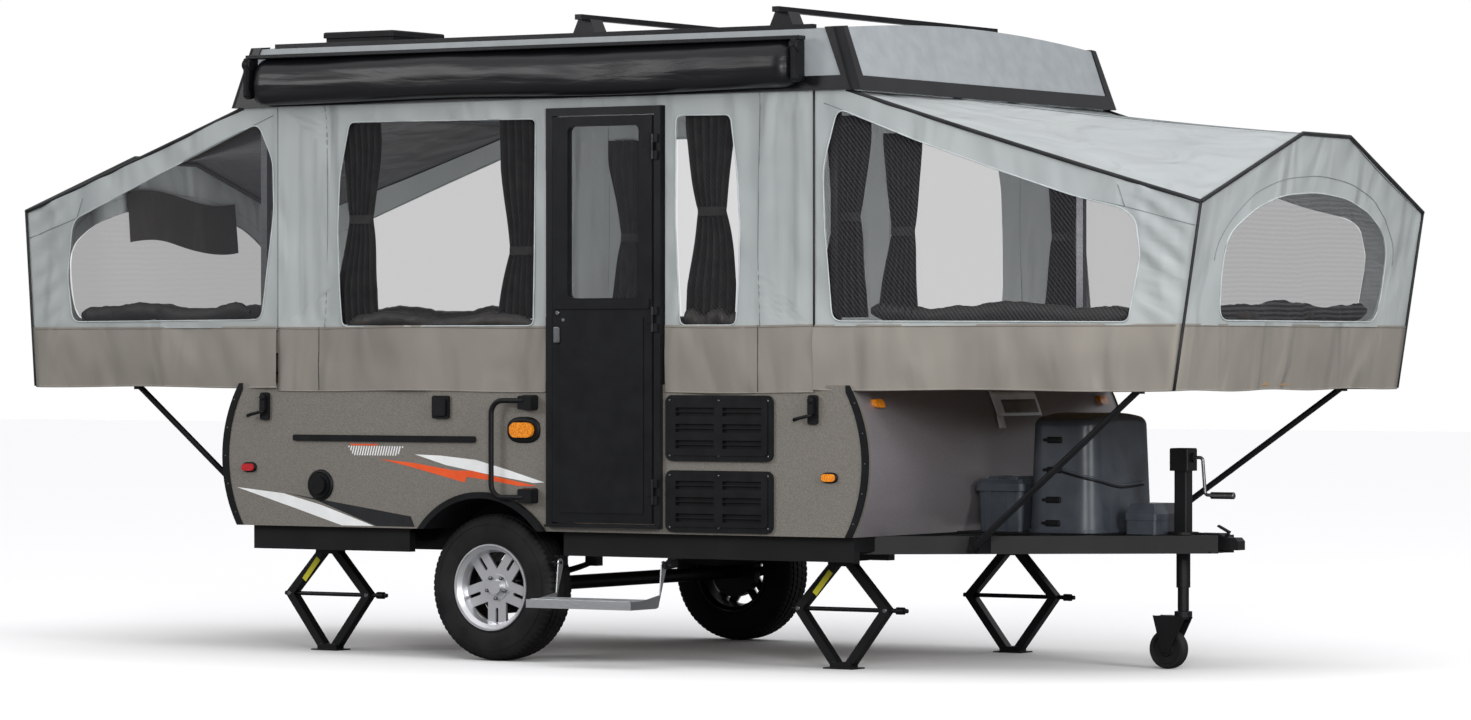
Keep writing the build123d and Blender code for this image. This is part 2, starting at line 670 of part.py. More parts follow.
def bunk_screens(name):
    """The mesh behind one bunk tent's windows."""
    bunk = BUNKS[name]
    way = bunk["way"]
    box_end = mid + way * box_length / 2
    with BuildPart() as screens:
        add(bunk_form(bunk, cloth + seat))
        add(bunk_form(bunk, cloth + seat + 1.2), mode=Mode.SUBTRACT)
        with BuildPart(mode=Mode.PRIVATE) as windows:
            with BuildSketch(Plane.XZ.offset(-1500)):
                points = [(mid + way * max(x, 1530), ground + z) for x, z in SIDE_WINDOWS[name]]
                Polygon(*points, align=None)
                offset(amount=14, kind=Kind.INTERSECTION)
            extrude(amount=3000)
            with BuildSketch(Plane(origin=(box_end + way * 1100, 0, ground), x_dir=(0, 1, 0),
                                   z_dir=(way, 0, 0))):
                Polygon(*[(y, way * z) for y, z in END_WINDOWS[name]], align=None)
                offset(amount=14, kind=Kind.INTERSECTION)
            extrude(amount=700)
        add(windows.part, mode=Mode.INTERSECT)
    return screens.part


for name in BUNKS:
    keep(bunk_screens(name), f"screens_bunk_{name}")

with BuildPart() as screens_walls:
    for side, name in ((-1, "right"), (1, "left")):
        for x0, x1, z0, z1 in WINDOWS[name]:
            slab(mid + x0 - 14, mid + x1 + 14, side * (cloth_y - seat - 1.2), side * (cloth_y - seat),
                 z0 - 14, z1 + 14)
keep(screens_walls.part, "screens_walls")


# Bunks: a board on a tube frame, its mattress, and the bow that holds the tent's outer end up
def bunk_platform(bunk):
    """A bunk board in its frame, from inside the box's end out to the tent's end."""
    way = bunk["way"]
    box_end = mid + way * box_length / 2
    inner = box_end - way * bunk["inside"]
    outer = box_end + way * (bunk["reach"] - 12)
    x0, x1 = min(inner, outer), max(inner, outer)
    with BuildPart() as platform:
        slab(x0, x1, -bunk_half_width, bunk_half_width, platform_bottom, platform_bottom + bunk_board)
        bays = 3
        pitch = (x1 - x0 - bunk_side_rail) / bays
        for bay in range(bays):
            low = x0 + bunk_side_rail + bay * pitch
            slab(low, low + pitch - bunk_side_rail, -bunk_half_width + bunk_side_rail,
                 bunk_half_width - bunk_side_rail, platform_bottom - 1, platform_bottom + bunk_board - 12,
                 mode=Mode.SUBTRACT)
        # clips that hold the bow's feet
        foot_x = outer - way * 14
        for side in (-1, 1):
            slab(foot_x - 16, foot_x + 16, side * (bunk_half_width - 5), side * (bunk_half_width + 9.2),
                 platform_bottom + 4, platform_bottom + bunk_board - 2)
    return platform.part


def mattress(bunk):
    """The foam mattress on a bunk board."""
    way = bunk["way"]
    box_end = mid + way * box_length / 2
    inner = box_end - way * (bunk["inside"] - 25)
    outer = box_end + way * (bunk["reach"] - 60)
    low = platform_bottom + bunk_board + seat
    with BuildPart() as foam:
        slab(inner, outer, -bunk_half_width + 40, bunk_half_width - 40, low, low + mattress_thickness)
        fillet(foam.edges().filter_by(Axis.Z), 40)
        fillet(foam.edges().group_by(Axis.Z)[-1], 22)
    return foam.part


def bunk_bow(bunk):
    """The bent tube inside the tent's outer end."""
    way = bunk["way"]
    box_end = mid + way * box_length / 2
    back = 21

    def at(y, z):
        return (box_end + way * (bunk["reach"] - back + bunk["lean"] * (z - wall_top)), y, z)

    side_y = bunk["half"] - 16
    shoulder = ground + bunk["shoulder"] - 18
    peak = ground + bunk["peak"] - 18
    peak_y = bunk["peak_half"] - 4
    points = [at(-side_y, platform_bottom + 6), at(-side_y, shoulder), at(-peak_y, peak), at(peak_y, peak),
              at(side_y, shoulder), at(side_y, platform_bottom + 6)]
    with BuildPart() as bow:
        with BuildLine() as path:
            FilletPolyline(*points, radius=70)
        with BuildSketch(Plane(origin=points[0], z_dir=path.line % 0)):
            Circle(bow_radius)
        sweep()
    return bow.part


for name, bunk in BUNKS.items():
    keep(bunk_platform(bunk), f"bunk_{name}")
    keep(mattress(bunk), f"mattress_{name}")
    keep(bunk_bow(bunk), f"tent_bow_{name}")

# Struts: from the chassis up to a saddle under each outer bunk corner
strut_top_y = bunk_half_width - 65
STRUTS = {
    "front": dict(pivot=strut_pivot_front, top=(box_front + 1195, strut_top_y)),
    "rear": dict(pivot=strut_pivot_rear, top=(box_rear - 685, strut_top_y)),
}
strut_radius = 13
saddle_thickness = 6
for name, strut in STRUTS.items():
    px, py, pz = strut["pivot"]
    top_x, top_y = strut["top"]
    saddle_top = platform_bottom - seat
    with BuildPart() as struts:
        for side in (-1, 1):
            tube_between((px, side * py, pz), (top_x, side * top_y, saddle_top - saddle_thickness - 6),
                         strut_radius)
            slab(top_x - 34, top_x + 34, side * (top_y - 20), side * (top_y + 20),
                 saddle_top - saddle_thickness, saddle_top)
            slab(top_x - 16, top_x + 16, side * (top_y - 12), side * (top_y + 12),
                 saddle_top - 30, saddle_top - saddle_thickness)
            along_y(px, side * (py - strut_gap + 1), side * (py + strut_gap), pz, 17)
            along_y(px, side * (py - 40), side * (py - strut_gap + 1), pz, 30, mode=Mode.SUBTRACT)
            along_y(px, side * (py + strut_gap), side * (py + 40), pz, 14, mode=Mode.SUBTRACT)
            along_y(px, side * (py - 40), side * (py + 40), pz, strut_pin_radius + 0.05, mode=Mode.SUBTRACT)
    keep(struts.part, f"bunk_struts_{name}")

# Entrance: aluminium frame, and one door with a screened upper half, hinged at its front edge
frame_outer = half_width + 20
frame_inner = half_width - wall
frame_x0, frame_x1 = doorway[0] + seat, doorway[1] - seat
frame_z0 = door_bottom - 20 + seat
frame_z1 = door_top + door_gap + door_frame_width
hinge_x = door_x1 + door_gap / 2
hinge_y = -(door_outer + 4)
hinge_heights = (door_bottom + 130, (door_bottom + door_top) / 2, door_top - 130)
knuckle = 34
with BuildPart() as door_frame:
    slab(frame_x0, frame_x1, -frame_outer, -frame_inner, frame_z0, frame_z1)
    slab(door_x0 - door_gap, door_x1 + door_gap, -frame_outer - 1, -frame_inner + 1, door_bottom - door_gap,
         door_top + door_gap, mode=Mode.SUBTRACT)
    # sill lip under the door
    slab(frame_x0, frame_x1, -frame_outer - 14, -frame_outer, frame_z0, frame_z0 + 10)
    for z in hinge_heights:
        for end in (-1, 1):
            near, far = z + end * (knuckle / 2 + 0.5), z + end * (knuckle * 1.5)
            upright(hinge_x, hinge_y, near, far, hinge_radius)
            slab(hinge_x, door_x1 + door_gap + 22, hinge_y, -frame_outer + 1, near, far)
            upright(hinge_x, hinge_y, near, far, hinge_radius)
    for z in hinge_heights:
        upright(hinge_x, hinge_y, z - knuckle, z + knuckle, 3)
    # the part of each hinge leaf next to the door is cut back
    slab(door_x1 - 20, door_x1 + 0.5, hinge_y - 3, -frame_outer + 5, door_bottom, door_top,
         mode=Mode.SUBTRACT)
    for z in hinge_heights:
        for end in (-1, 1):
            near, far = z + end * (knuckle / 2 + 0.5), z + end * (knuckle * 1.5)
            upright(hinge_x, hinge_y, near, far, hinge_radius)
keep(door_frame.part, "door_frame")

window_x0, window_x1 = mid + 186, mid + 534
window_z0, window_z1 = ground + 1502, ground + 2205
with BuildPart() as door:
    slab(door_x0, door_x1, -door_outer, -door_outer + door_thickness, door_bottom, door_top)
    with BuildSketch(Plane.XZ.offset(door_outer + 1)):
        with Locations(((window_x0 + window_x1) / 2, (window_z0 + window_z1) / 2)):
            RectangleRounded(window_x1 - window_x0, window_z1 - window_z0, 24)
    extrude(amount=-door_thickness - 2, mode=Mode.SUBTRACT)
    # a raised panel on the lower half and the rail across the middle
    slab(door_x0 + 40, door_x1 - 40, -door_outer - 4, -door_outer, door_bottom + 40, ground + 1420)
    slab(door_x0 + 10, door_x1 - 10, -door_outer - 7, -door_outer, ground + 1458, ground + 1498)
    for z in hinge_heights:
        upright(hinge_x, hinge_y, z - knuckle / 2, z + knuckle / 2, hinge_radius)
        slab(door_x1 - 26, hinge_x, hinge_y, -door_outer + 0.5, z - knuckle / 2, z + knuckle / 2)
        upright(hinge_x, hinge_y, z - knuckle / 2 - 1, z + knuckle / 2 + 1, 3.05, mode=Mode.SUBTRACT)
        for end in (-1, 1):
            near, far = z + end * knuckle / 2, z + end * (knuckle * 1.5 + 1)
            upright(hinge_x, hinge_y, near, far, hinge_radius + 0.5, mode=Mode.SUBTRACT)
keep(door.part, "door")

with BuildPart() as door_screen:
    with BuildSketch(Plane.XZ.offset(door_outer - 24)):
        with Locations(((window_x0 + window_x1) / 2, (window_z0 + window_z1) / 2)):
            RectangleRounded(window_x1 - window_x0 - 2 * seat, window_z1 - window_z0 - 2 * seat, 24 - seat)
    extrude(amount=-1.5)
keep(door_screen.part, "door_screen")

# Entry step: a ribbed aluminium tread on two side plates that swing in under the sill
step_x0, step_x1 = mid + 112, mid + 622
step_pivot = (-sill_y - 37, rail_bottom - 28)
step_top = step_pivot[1] - 141
step_near, step_far = step_pivot[0] - 53, step_pivot[0] - 246
with BuildPart() as step_bracket:
    for x, away in ((step_x0 - 14, -1), (step_x1 + 14, 1)):
        with BuildSketch(Plane.YZ.offset(x - 3)):
            Polygon((40 - sill_y, rail_bottom - seat), (-sill_y - 19, rail_bottom - seat),
                    (step_pivot[0] - 16, step_pivot[1] + 10),
                    (step_pivot[0] - 16, step_pivot[1] - 16), (step_pivot[0] + 18, step_pivot[1] - 16),
                    (40 - sill_y, rail_bottom - 40), align=None)
        extrude(amount=6)
        slab(x + away * 25, x - away * 8, -sill_y - 19, 40 - sill_y, rail_bottom - seat - 5,
             rail_bottom - seat)
        with Locations(Location((x, step_pivot[0], step_pivot[1]), (0, 90, 0))):
            Cylinder(7, 44)
keep(step_bracket.part, "step_bracket")
with BuildPart() as entry_step:
    slab(step_x0, step_x1, step_far, step_near, step_top - 34, step_top)
    slab(step_x0 + 5, step_x1 - 5, step_far + 4, step_near - 4, step_top - 40, step_top - 4,
         mode=Mode.SUBTRACT)
    with Locations(((step_x0 + step_x1) / 2, (step_far + step_near) / 2, step_top)):
        with GridLocations(0, 22, 1, 8):
            Box(step_x1 - step_x0 - 24, 9, 5)
    for x, away in ((step_x0, 1), (step_x1, -1)):
        with BuildSketch(Plane.YZ.offset(x - (5 if away < 0 else 0))):
            Polygon((step_pivot[0] - 16, step_pivot[1]), (step_pivot[0] + 16, step_pivot[1]),
                    (step_pivot[0] + 16, step_pivot[1] - 20), (step_near + 12,
                                                               step_top - 30), (step_near - 10,
                                                                                step_top - 34),
                    (step_far + 60, step_top - 34), (step_far + 60, step_top - 4), (step_pivot[0] - 30,
                                                                                    step_top + 20),
                    align=None)
            with Locations(step_pivot):
                Circle(17)
        extrude(amount=5)
        with Locations(Location((x, step_pivot[0], step_pivot[1]), (0, 90, 0))):
            Cylinder(7.06, 40, mode=Mode.SUBTRACT)
keep(entry_step.part, "entry_step")

# Tongue jack: outer tube through the tongue plate, gear head, crank, inner leg with a caster
jack_head_z = ground + 894
jack_square = 58
jack_head = 86
leg_radius = 23
leg_bottom = ground + 236
spigot_radius = 16
caster_x = tongue_jack_x - 66
caster_radius = 80
caster_half = 28
with BuildPart() as tongue_jack:
    upright(tongue_jack_x, 0, ground + 330, jack_head_z - 80, jack_tube_radius)
    upright(tongue_jack_x, 0, chassis_top + seat, chassis_top + 10, 62)
    for z, tall, side in ((chassis_top + 10, jack_head_z - 60 - chassis_top, jack_square),
                          (jack_head_z - 92, 92, jack_head)):
        with BuildSketch(Plane.XY.offset(z)):
            with Locations((tongue_jack_x, 0)):
                RectangleRounded(side, side, 8)
        extrude(amount=tall)
    upright(tongue_jack_x, 0, ground + 300, jack_head_z - 110, leg_radius + 0.3, mode=Mode.SUBTRACT)
    fillet(tongue_jack.edges().group_by(Axis.Z)[-1], 7)
    with Locations(Location((tongue_jack_x + jack_head / 2 + 5, 0, jack_head_z - 38), (0, 90, 0))):
        Cylinder(19, 10)
keep(tongue_jack.part, "tongue_jack")
with BuildPart() as jack_crank:
    crank_z = jack_head_z - 38
    crank_x = tongue_jack_x + jack_head / 2 + 10
    with BuildLine() as crank_path:
        FilletPolyline((crank_x + seat, 0, crank_z), (crank_x + 34, 0, crank_z),
                       (crank_x + 46, 0, crank_z - 150),
                       (crank_x + 92, 0, crank_z - 152), radius=14)
    with BuildSketch(Plane(origin=(crank_x + seat, 0, crank_z), z_dir=(1, 0, 0))):
        Circle(7)
    sweep(path=crank_path.wires()[0])
    with BuildSketch(Plane(origin=(crank_x + 74, 0, crank_z - 152), z_dir=(1, 0, 0))):
        Circle(14)
    extrude(amount=104)
    fillet(jack_crank.edges().group_by(Axis.X)[-1], 5)
keep(jack_crank.part, "jack_crank")
with BuildPart() as jack_leg:
    upright(tongue_jack_x, 0, leg_bottom, jack_head_z - 130, leg_radius)
    upright(tongue_jack_x, 0, leg_bottom - 34, leg_bottom, spigot_radius)
    upright(tongue_jack_x, 0, leg_bottom - 34, leg_bottom - 28, spigot_radius + 6)
keep(jack_leg.part, "jack_leg")
fork_top = leg_bottom - 2
with BuildPart() as caster_fork:
    upright(tongue_jack_x, 0, fork_top - 24, fork_top, 36)
    with BuildSketch(Plane.XY.offset(fork_top - 24)):
        with Locations(((tongue_jack_x + caster_x) / 2 - 10, 0)):
            Rectangle(110, 2 * caster_half + 18)
    extrude(amount=6)
    for side in (-1, 1):
        with BuildSketch(Plane.XZ.offset(-side * (caster_half + 6) - 3)):
            Polygon((tongue_jack_x + 24, fork_top - 24), (caster_x - 55, fork_top - 18),
                    (caster_x - 16, ground + caster_radius - 14),
                    (caster_x + 18, ground + caster_radius - 14), align=None)
        extrude(amount=6)
    along_y(caster_x, -caster_half - 14, caster_half + 14, ground + caster_radius, 8)
    upright(tongue_jack_x, 0, fork_top - 40, fork_top + 20, spigot_radius + 0.05, mode=Mode.SUBTRACT)
    upright(tongue_jack_x, 0, fork_top - 60, fork_top - 24.5, spigot_radius + 8, mode=Mode.SUBTRACT)
keep(caster_fork.part, "caster_fork")
with BuildPart() as caster_wheel:
    with BuildSketch(Plane(origin=(caster_x, 0, ground + caster_radius))):
        Polygon((8.06, -caster_half), (26, -caster_half), (30, -16), (58, -16), (62, -caster_half + 2),
                (74, -caster_half + 2),
                (caster_radius, -16), (caster_radius, 16), (74, caster_half - 2), (62, caster_half - 2),
                (58, 16), (30, 16), (26, caster_half), (8.06, caster_half), align=None)
    revolve(axis=Axis((caster_x, 0, ground + caster_radius), (0, 1, 0)))
keep(caster_wheel.part, "caster_wheel")

# Gas bottle cover on its tray, battery box and accessory box on the drawbar
tray_top = chassis_top + 6
cover_length, cover_width = 330, 560
cover_top = ground + 1035
cover_corner = 92
cover_taper = 2.4
cover_skin = 12
cover_arch = 30  # how far the top falls from its ridge to the sides
cover_round = 38
with BuildPart() as tongue_tray:
    slab(box_front + 35, box_front + 700, -300, 300, chassis_top + seat, tray_top)
keep(tongue_tray.part, "tongue_tray")


def cover_form(inset):
    """The twin-bottle cover: a rounded box, narrowing a little towards its arched top."""
    with BuildPart(mode=Mode.PRIVATE) as form:
        low = tray_top + seat - (2 if inset else 0)
        with BuildSketch(Plane.XY.offset(low)):
            with Locations((cover_x, 0)):
                RectangleRounded(cover_length - 2 * inset, cover_width - 2 * inset, cover_corner - inset)
        extrude(amount=cover_top - inset - low, taper=cover_taper)
        with BuildSketch(Plane.YZ.offset(cover_x - cover_length)):
            with BuildLine():
                high = cover_top - inset
                edge = high - 4 * cover_arch
                Polyline((cover_width, edge), (cover_width, low), (-cover_width, low), (-cover_width, edge))
                ThreePointArc((-cover_width, edge), (0, high), (cover_width, edge))
            make_face()
        extrude(amount=2 * cover_length, mode=Mode.INTERSECT)
        if not inset:
            fillet(form.edges().group_by(Axis.Z)[-1], cover_round)
            with BuildSketch(Plane.XY.offset(low)):
                with Locations((cover_x, 0)):
                    RectangleRounded(cover_length + 16, cover_width + 16, cover_corner + 8)
            extrude(amount=14)
    return form.part


with BuildPart() as gas_cover:
    add(cover_form(0))
    add(cover_form(cover_skin), mode=Mode.SUBTRACT)
keep(gas_cover.part, "gas_cover")

battery_length, battery_width, battery_height = 230, 216, 170
with BuildPart() as battery_box:
    with BuildSketch(Plane.XY.offset(tray_top + seat)):
        with Locations((battery_x, battery_y)):
            RectangleRounded(battery_length - 30, battery_width - 36, 20)
    extrude(amount=battery_height, taper=-2)
    for across, along in ((-1, -1), (-1, 1), (1, -1), (1, 1)):
        with BuildSketch(Plane.XY.offset(tray_top + seat)):
            with Locations((battery_x + along * 52, battery_y + across * (battery_width / 2 - 18))):
                Rectangle(26, 10)
        extrude(amount=battery_height, taper=-1.5)
    with BuildSketch(Plane.XY.offset(tray_top + seat + battery_height - 5)):
        with Locations((battery_x, battery_y)):
            RectangleRounded(battery_length, battery_width, 26)
    extrude(amount=30)
    with BuildSketch(Plane.XY.offset(tray_top + seat + battery_height + 20)):
        with Locations((battery_x, battery_y)):
            RectangleRounded(battery_length - 14, battery_width - 14, 22)
    extrude(amount=22, taper=30)
    for along in (-1, 1):
        with BuildSketch(Plane.XY.offset(tray_top + seat + battery_height + 30)):
            with Locations((battery_x + along * battery_length * 0.2, battery_y)):
                RectangleRounded(battery_length * 0.26, battery_width * 0.7, 14)
        extrude(amount=24, taper=20)
keep(battery_box.part, "battery_box")

accessory_width = 230
with BuildPart() as accessory_box:
    accessory_x = (box_front + 707 + tongue_jack_x - 65) / 2
    accessory_length = tongue_jack_x - box_front - 772
    for z, tall, out, lean in ((seat, 62, -8, 0), (58, 24, 0, 0), (82, 42, 0, 28)):
        with BuildSketch(Plane.XY.offset(chassis_top + z)):
            with Locations((accessory_x, 0)):
                RectangleRounded(accessory_length + out, accessory_width + out, 12)
        extrude(amount=tall, taper=lean)
keep(accessory_box.part, "accessory_box")

# Corner jacks: scissor legs under the main rails, wound down on to their pads
JACKS = {"front": (box_front - 263, rail_y - 45), "rear": (box_rear + 207, rail_y - 45)}
elbow_x = 205
elbow_z = ground + 240
jack_top_z = rail_bottom - seat
arm_half = 17
for name, (x, jack_y) in JACKS.items():
    with BuildPart() as jacks:
        for side in (-1, 1):
            y = side * jack_y
            slab(x - 70, x + 70, y - 48, y + 48, ground, ground + 5)
            slab(x - 50, x + 50, y - 28, y + 28, ground + 5, ground + 26)
            slab(x - 90, x + 90, y - 48, y + 48, jack_top_z - 6, jack_top_z)
            slab(x - 60, x + 60, y - 26, y + 26, jack_top_z - 30, jack_top_z - 6)
            for end in (-1, 1):
                for foot_z in (ground + 18, jack_top_z - 18):
                    with BuildSketch(Plane.XZ.offset(-y - 22)):
                        run = Vector(end * (elbow_x - 34), elbow_z - foot_z)
                        middle = (x + end * (elbow_x + 34) / 2, (elbow_z + foot_z) / 2)
                        with Locations(Location((*middle, 0), (0, 0, degrees(atan2(run.Y, run.X))))):
                            SlotOverall(run.length + 2 * arm_half, 2 * arm_half)
                    extrude(amount=44)
            with Locations(Location((x + 30, y, elbow_z), (0, 90, 0))):
                Cylinder(9, 2 * elbow_x + 130)
            with Locations(Location((x + elbow_x + 62, y, elbow_z), (0, 90, 0))):
                Cylinder(15, 34)
    keep(jacks.part, f"corner_jacks_{name}")

# Fittings on the right side wall, each standing off the skin
skin_y = -half_width - seat


def fitting(x, z, width, height, depth, corner, side=-1):
    """A rounded plate standing on a side wall."""
    face = side * (half_width + seat)
    with BuildSketch(Plane(origin=(mid + x, face, ground + z), x_dir=(1, 0, 0), z_dir=(0, side, 0))) as plate:
        RectangleRounded(width, height, corner)
    extrude(plate.sketch, amount=depth)


with BuildPart() as appliance_vents:
    for z0, z1 in ((842, 1108), (554, 804)):
        vent_width, vent_height = 510, z1 - z0
        fitting(910, (z0 + z1) / 2, vent_width, vent_height, 12, 30)
        fitting(910, (z0 + z1) / 2, vent_width - 44, vent_height - 44, 16, 18)
        for row in (-1, 0, 1):
            for column in (-1, 1):
                x = mid + 910 + column * 112
                z = ground + (z0 + z1) / 2 + row * 66
                slab(x - 92, x + 92, skin_y - 30, skin_y - 4, z - 17, z + 17, mode=Mode.SUBTRACT)
                slab(x - 92, x + 92, skin_y - 15, skin_y - 3, z - 2.5, z + 2.5)
keep(appliance_vents.part, "appliance_vents")



def front_fitting(y, z, width, height, depth, corner):
    """A rounded plate that follows the curve of the front wall."""
    with BuildPart(mode=Mode.PRIVATE) as plate:
        with BuildSketch(Plane(origin=(box_front - 60, y, ground + z), x_dir=(0, 1, 0), z_dir=(1, 0, 0))):
            RectangleRounded(width, height, corner)
        extrude(amount=200)
        for grow, mode in ((depth, Mode.INTERSECT), (seat, Mode.SUBTRACT)):
            with BuildSketch(Plane.XZ.offset(-half_width - 50)) as outline:
                add(side_outline(-grow))
            extrude(amount=box_width + 100, mode=mode)
    add(plate.part)


lamp_depth = 26
with BuildPart() as amber_lamps:
    for y in (-half_width + 148, half_width - 133):
        front_fitting(y, 1078, 70, 34, 20, 15)
    for side in (-1, 1):
        fitting(-47, 961, 116, 62, lamp_depth, 30, side)
        fitting(box_length / 2 - 99, 782, 62, 30, 18, 14, side)
keep(amber_lamps.part, "amber_lamps")
with BuildPart() as red_lamps:
    for side in (-1, 1):
        fitting(61 - box_length / 2, 792, 62, 30, 18, 14, side)
keep(red_lamps.part, "red_lamps")
with BuildPart() as side_latches:
    for side in (-1, 1):
        for x in (148 - box_length / 2, box_length / 2 - 173):
            fitting(x, 1052, 44, 118, 14, 12, side)
            fitting(x, 1066, 26, 70, 30, 8, side)
keep(side_latches.part, "side_latches")
with BuildPart() as side_fittings:
    fitting(-1087, 721, 104, 104, 16, 51)
    fitting(-1087, 721, 76, 76, 30, 37)
    fitting(-461, 1053, 84, 96, 14, 10)
    fitting(-461, 1053, 64, 72, 24, 8)
    for side in (-1, 1):
        fitting(-758, 920, 940, 26, 10, 8, side)
keep(side_fittings.part, "side_fittings")

# Grab handle beside the door: a bent tube standing off two moulded feet
handle_top, handle_bottom = ground + 1082, ground + 683
handle_reach = 184  # the upright, behind the middle of the box
handle_out = 40
handle_radius = 11
handle_bend = 55
foot_half = 38
with BuildPart() as grab_handle:
    with BuildLine() as handle_path:
        FilletPolyline((mid - 20, skin_y - handle_out, handle_top),
                       (mid - handle_reach, skin_y - handle_out, handle_top),
                       (mid - handle_reach, skin_y - handle_out, handle_bottom),
                       (mid - 20, skin_y - handle_out, handle_bottom), radius=handle_bend)
    with BuildSketch(Plane(origin=(mid - 20, skin_y - handle_out, handle_top), z_dir=(-1, 0, 0))):
        Circle(handle_radius)
    sweep(path=handle_path.wires()[0])
    for z, away in ((handle_top, -1), (handle_bottom, 1)):
        with BuildSketch(Plane.XZ.offset(-skin_y)):
            with Locations((mid - 14, z + away * 8)):
                RectangleRounded(2 * foot_half, 64, 12)
        extrude(amount=handle_out + 8, taper=5)
keep(grab_handle.part, "grab_handle")
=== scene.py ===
import math

import bmesh
import bpy
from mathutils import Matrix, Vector, noise


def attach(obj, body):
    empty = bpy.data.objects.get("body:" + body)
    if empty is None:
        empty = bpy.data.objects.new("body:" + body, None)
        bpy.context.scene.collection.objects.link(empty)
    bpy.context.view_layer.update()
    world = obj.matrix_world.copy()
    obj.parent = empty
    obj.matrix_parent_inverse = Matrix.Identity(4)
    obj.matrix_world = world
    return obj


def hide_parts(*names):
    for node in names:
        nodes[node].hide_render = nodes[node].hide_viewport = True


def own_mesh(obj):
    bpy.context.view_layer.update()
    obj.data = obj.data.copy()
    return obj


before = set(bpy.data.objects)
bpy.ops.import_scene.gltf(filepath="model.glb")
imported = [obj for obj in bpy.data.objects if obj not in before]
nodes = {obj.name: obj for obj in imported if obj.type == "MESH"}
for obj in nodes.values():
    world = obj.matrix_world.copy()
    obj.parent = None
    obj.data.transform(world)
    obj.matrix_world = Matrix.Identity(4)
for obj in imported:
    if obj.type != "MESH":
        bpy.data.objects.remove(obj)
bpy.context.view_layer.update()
print("frame loaded:", len(nodes), "CAD nodes")

# The trailer's own places, in metres. Most sizes below are measured from the middle of the box,
# x forwards, y to the left, z up from the ground.
trailer = {"middle": -2.665, "ground": -0.5, "bandTop": 1.385, "sideWall": 1.0803}
handed = {"right": -1, "left": 1}
fullTurn = 2 * math.pi


def at(x, y, z):
    return Vector((trailer["middle"] + x, y, trailer["ground"] + z))


# Camera and lights

camera = {"place": (12.40, -19.21, 1.28), "azimuth": 32.2, "pitch": -0.08, "lens": 130.5}


def makeCamera():
    data = bpy.data.cameras.new("camera")
    data.lens = camera["lens"]
    data.sensor_width = 36
    data.clip_end = 200
    data.clip_start = 0.5
    cam = bpy.data.objects.new("camera", data)
    x, y, z = camera["place"]
    cam.location = at(x, y, z)
    cam.rotation_euler = (math.radians(90 + camera["pitch"]), 0, math.radians(camera["azimuth"]))
    bpy.context.collection.objects.link(cam)
    bpy.context.scene.camera = cam


def makeLight(name, place, target, size, power, seen):
    data = bpy.data.lights.new(name, "AREA")
    data.shape = "RECTANGLE"
    data.size, data.size_y = size
    data.energy = power
    lamp = bpy.data.objects.new(name, data)
    lamp.location = at(*place)
    lamp.rotation_euler = (at(*target) - lamp.location).to_track_quat("-Z", "Y").to_euler()
    lamp.visible_camera = seen
    bpy.context.collection.objects.link(lamp)


# Materials

def linear(code, alpha=1.0):
    # sRGB hex to the linear colour that the shader needs
    parts = [int(code[i:i + 2], 16) / 255 for i in (1, 3, 5)]
    return [p / 12.92 if p <= 0.04045 else ((p + 0.055) / 1.055) ** 2.4 for p in parts] + [alpha]


def addNode(tree, kind, settings=None, links=None):
    # settings are sockets by name, or the node's own fields; links are socket: (node, output)
    node = tree.nodes.new(kind)
    for key, value in (settings or {}).items():
        if key in node.inputs:
            node.inputs[key].default_value = value
        else:
            setattr(node, key, value)
    for key, (source, output) in (links or {}).items():
        tree.links.new(source.outputs[output], node.inputs[key])
    return node


def patterned(name, shader, dark, light, colour, ends=(0.3, 0.7), reliefs=()):
    # the colour pattern runs between two colours, and each relief is laid on the one before it
    # a pattern is a texture's kind and settings, and a mapping's settings where it is stretched or turned
    # a relief is its pattern, or None for the colour's own, with a strength and a depth in millimetres
    made = bpy.data.materials.new(name)
    made.use_nodes = True
    tree = made.node_tree
    tree.nodes.clear()
    surface = addNode(tree, "ShaderNodeBsdfPrincipled", shader)
    addNode(tree, "ShaderNodeOutputMaterial", None, {"Surface": (surface, "BSDF")})
    place = addNode(tree, "ShaderNodeTexCoord")

    def drawn(kind, settings, mapping=None):
        spot = (place, "Object")
        if mapping:
            spot = (addNode(tree, "ShaderNodeMapping", mapping, {"Vector": spot}), "Vector")
        texture = addNode(tree, "ShaderNodeTex" + kind, settings, {"Vector": spot})
        return texture, "Distance" if kind == "Voronoi" else "Fac"

    shade = colour(tree, place) if callable(colour) else drawn(*colour)
    ramp = addNode(tree, "ShaderNodeValToRGB", None, {"Fac": shade})
    for stop, position, code in zip(ramp.color_ramp.elements, ends, (dark, light)):
        stop.position = position
        stop.color = linear(code)
    tree.links.new(ramp.outputs["Color"], surface.inputs["Base Color"])
    below = None
    for pattern, strength, millimetres in reliefs:
        links = {"Height": drawn(*pattern) if pattern else shade}
        if below:
            links["Normal"] = (below, "Normal")
        depth = {"Strength": strength, "Distance": millimetres / 1000}
        below = addNode(tree, "ShaderNodeBump", depth, links)
    if below:
        tree.links.new(below.outputs["Normal"], surface.inputs["Normal"])
    return made


def noisy(scale, detail, **more):
    # the settings of a cloudy pattern
    return {"Scale": scale, "Detail": detail, **more}


def pebbledPaint(name, dark, light, metallic, roughness):
    # stucco-embossed aluminium skin under paint: pebbles about 9 mm apart that break up the gloss
    shader = {"Metallic": metallic, "Roughness": roughness, "Specular IOR Level": 0.5}
    pebbles = ("Voronoi", {"Scale": 110, "feature": "SMOOTH_F1"})
    grain = ("Noise", noisy(420, 3))
    return patterned(name, shader, dark, light, grain, (0.36, 0.64), [(pebbles, 0.25, 1.2)])


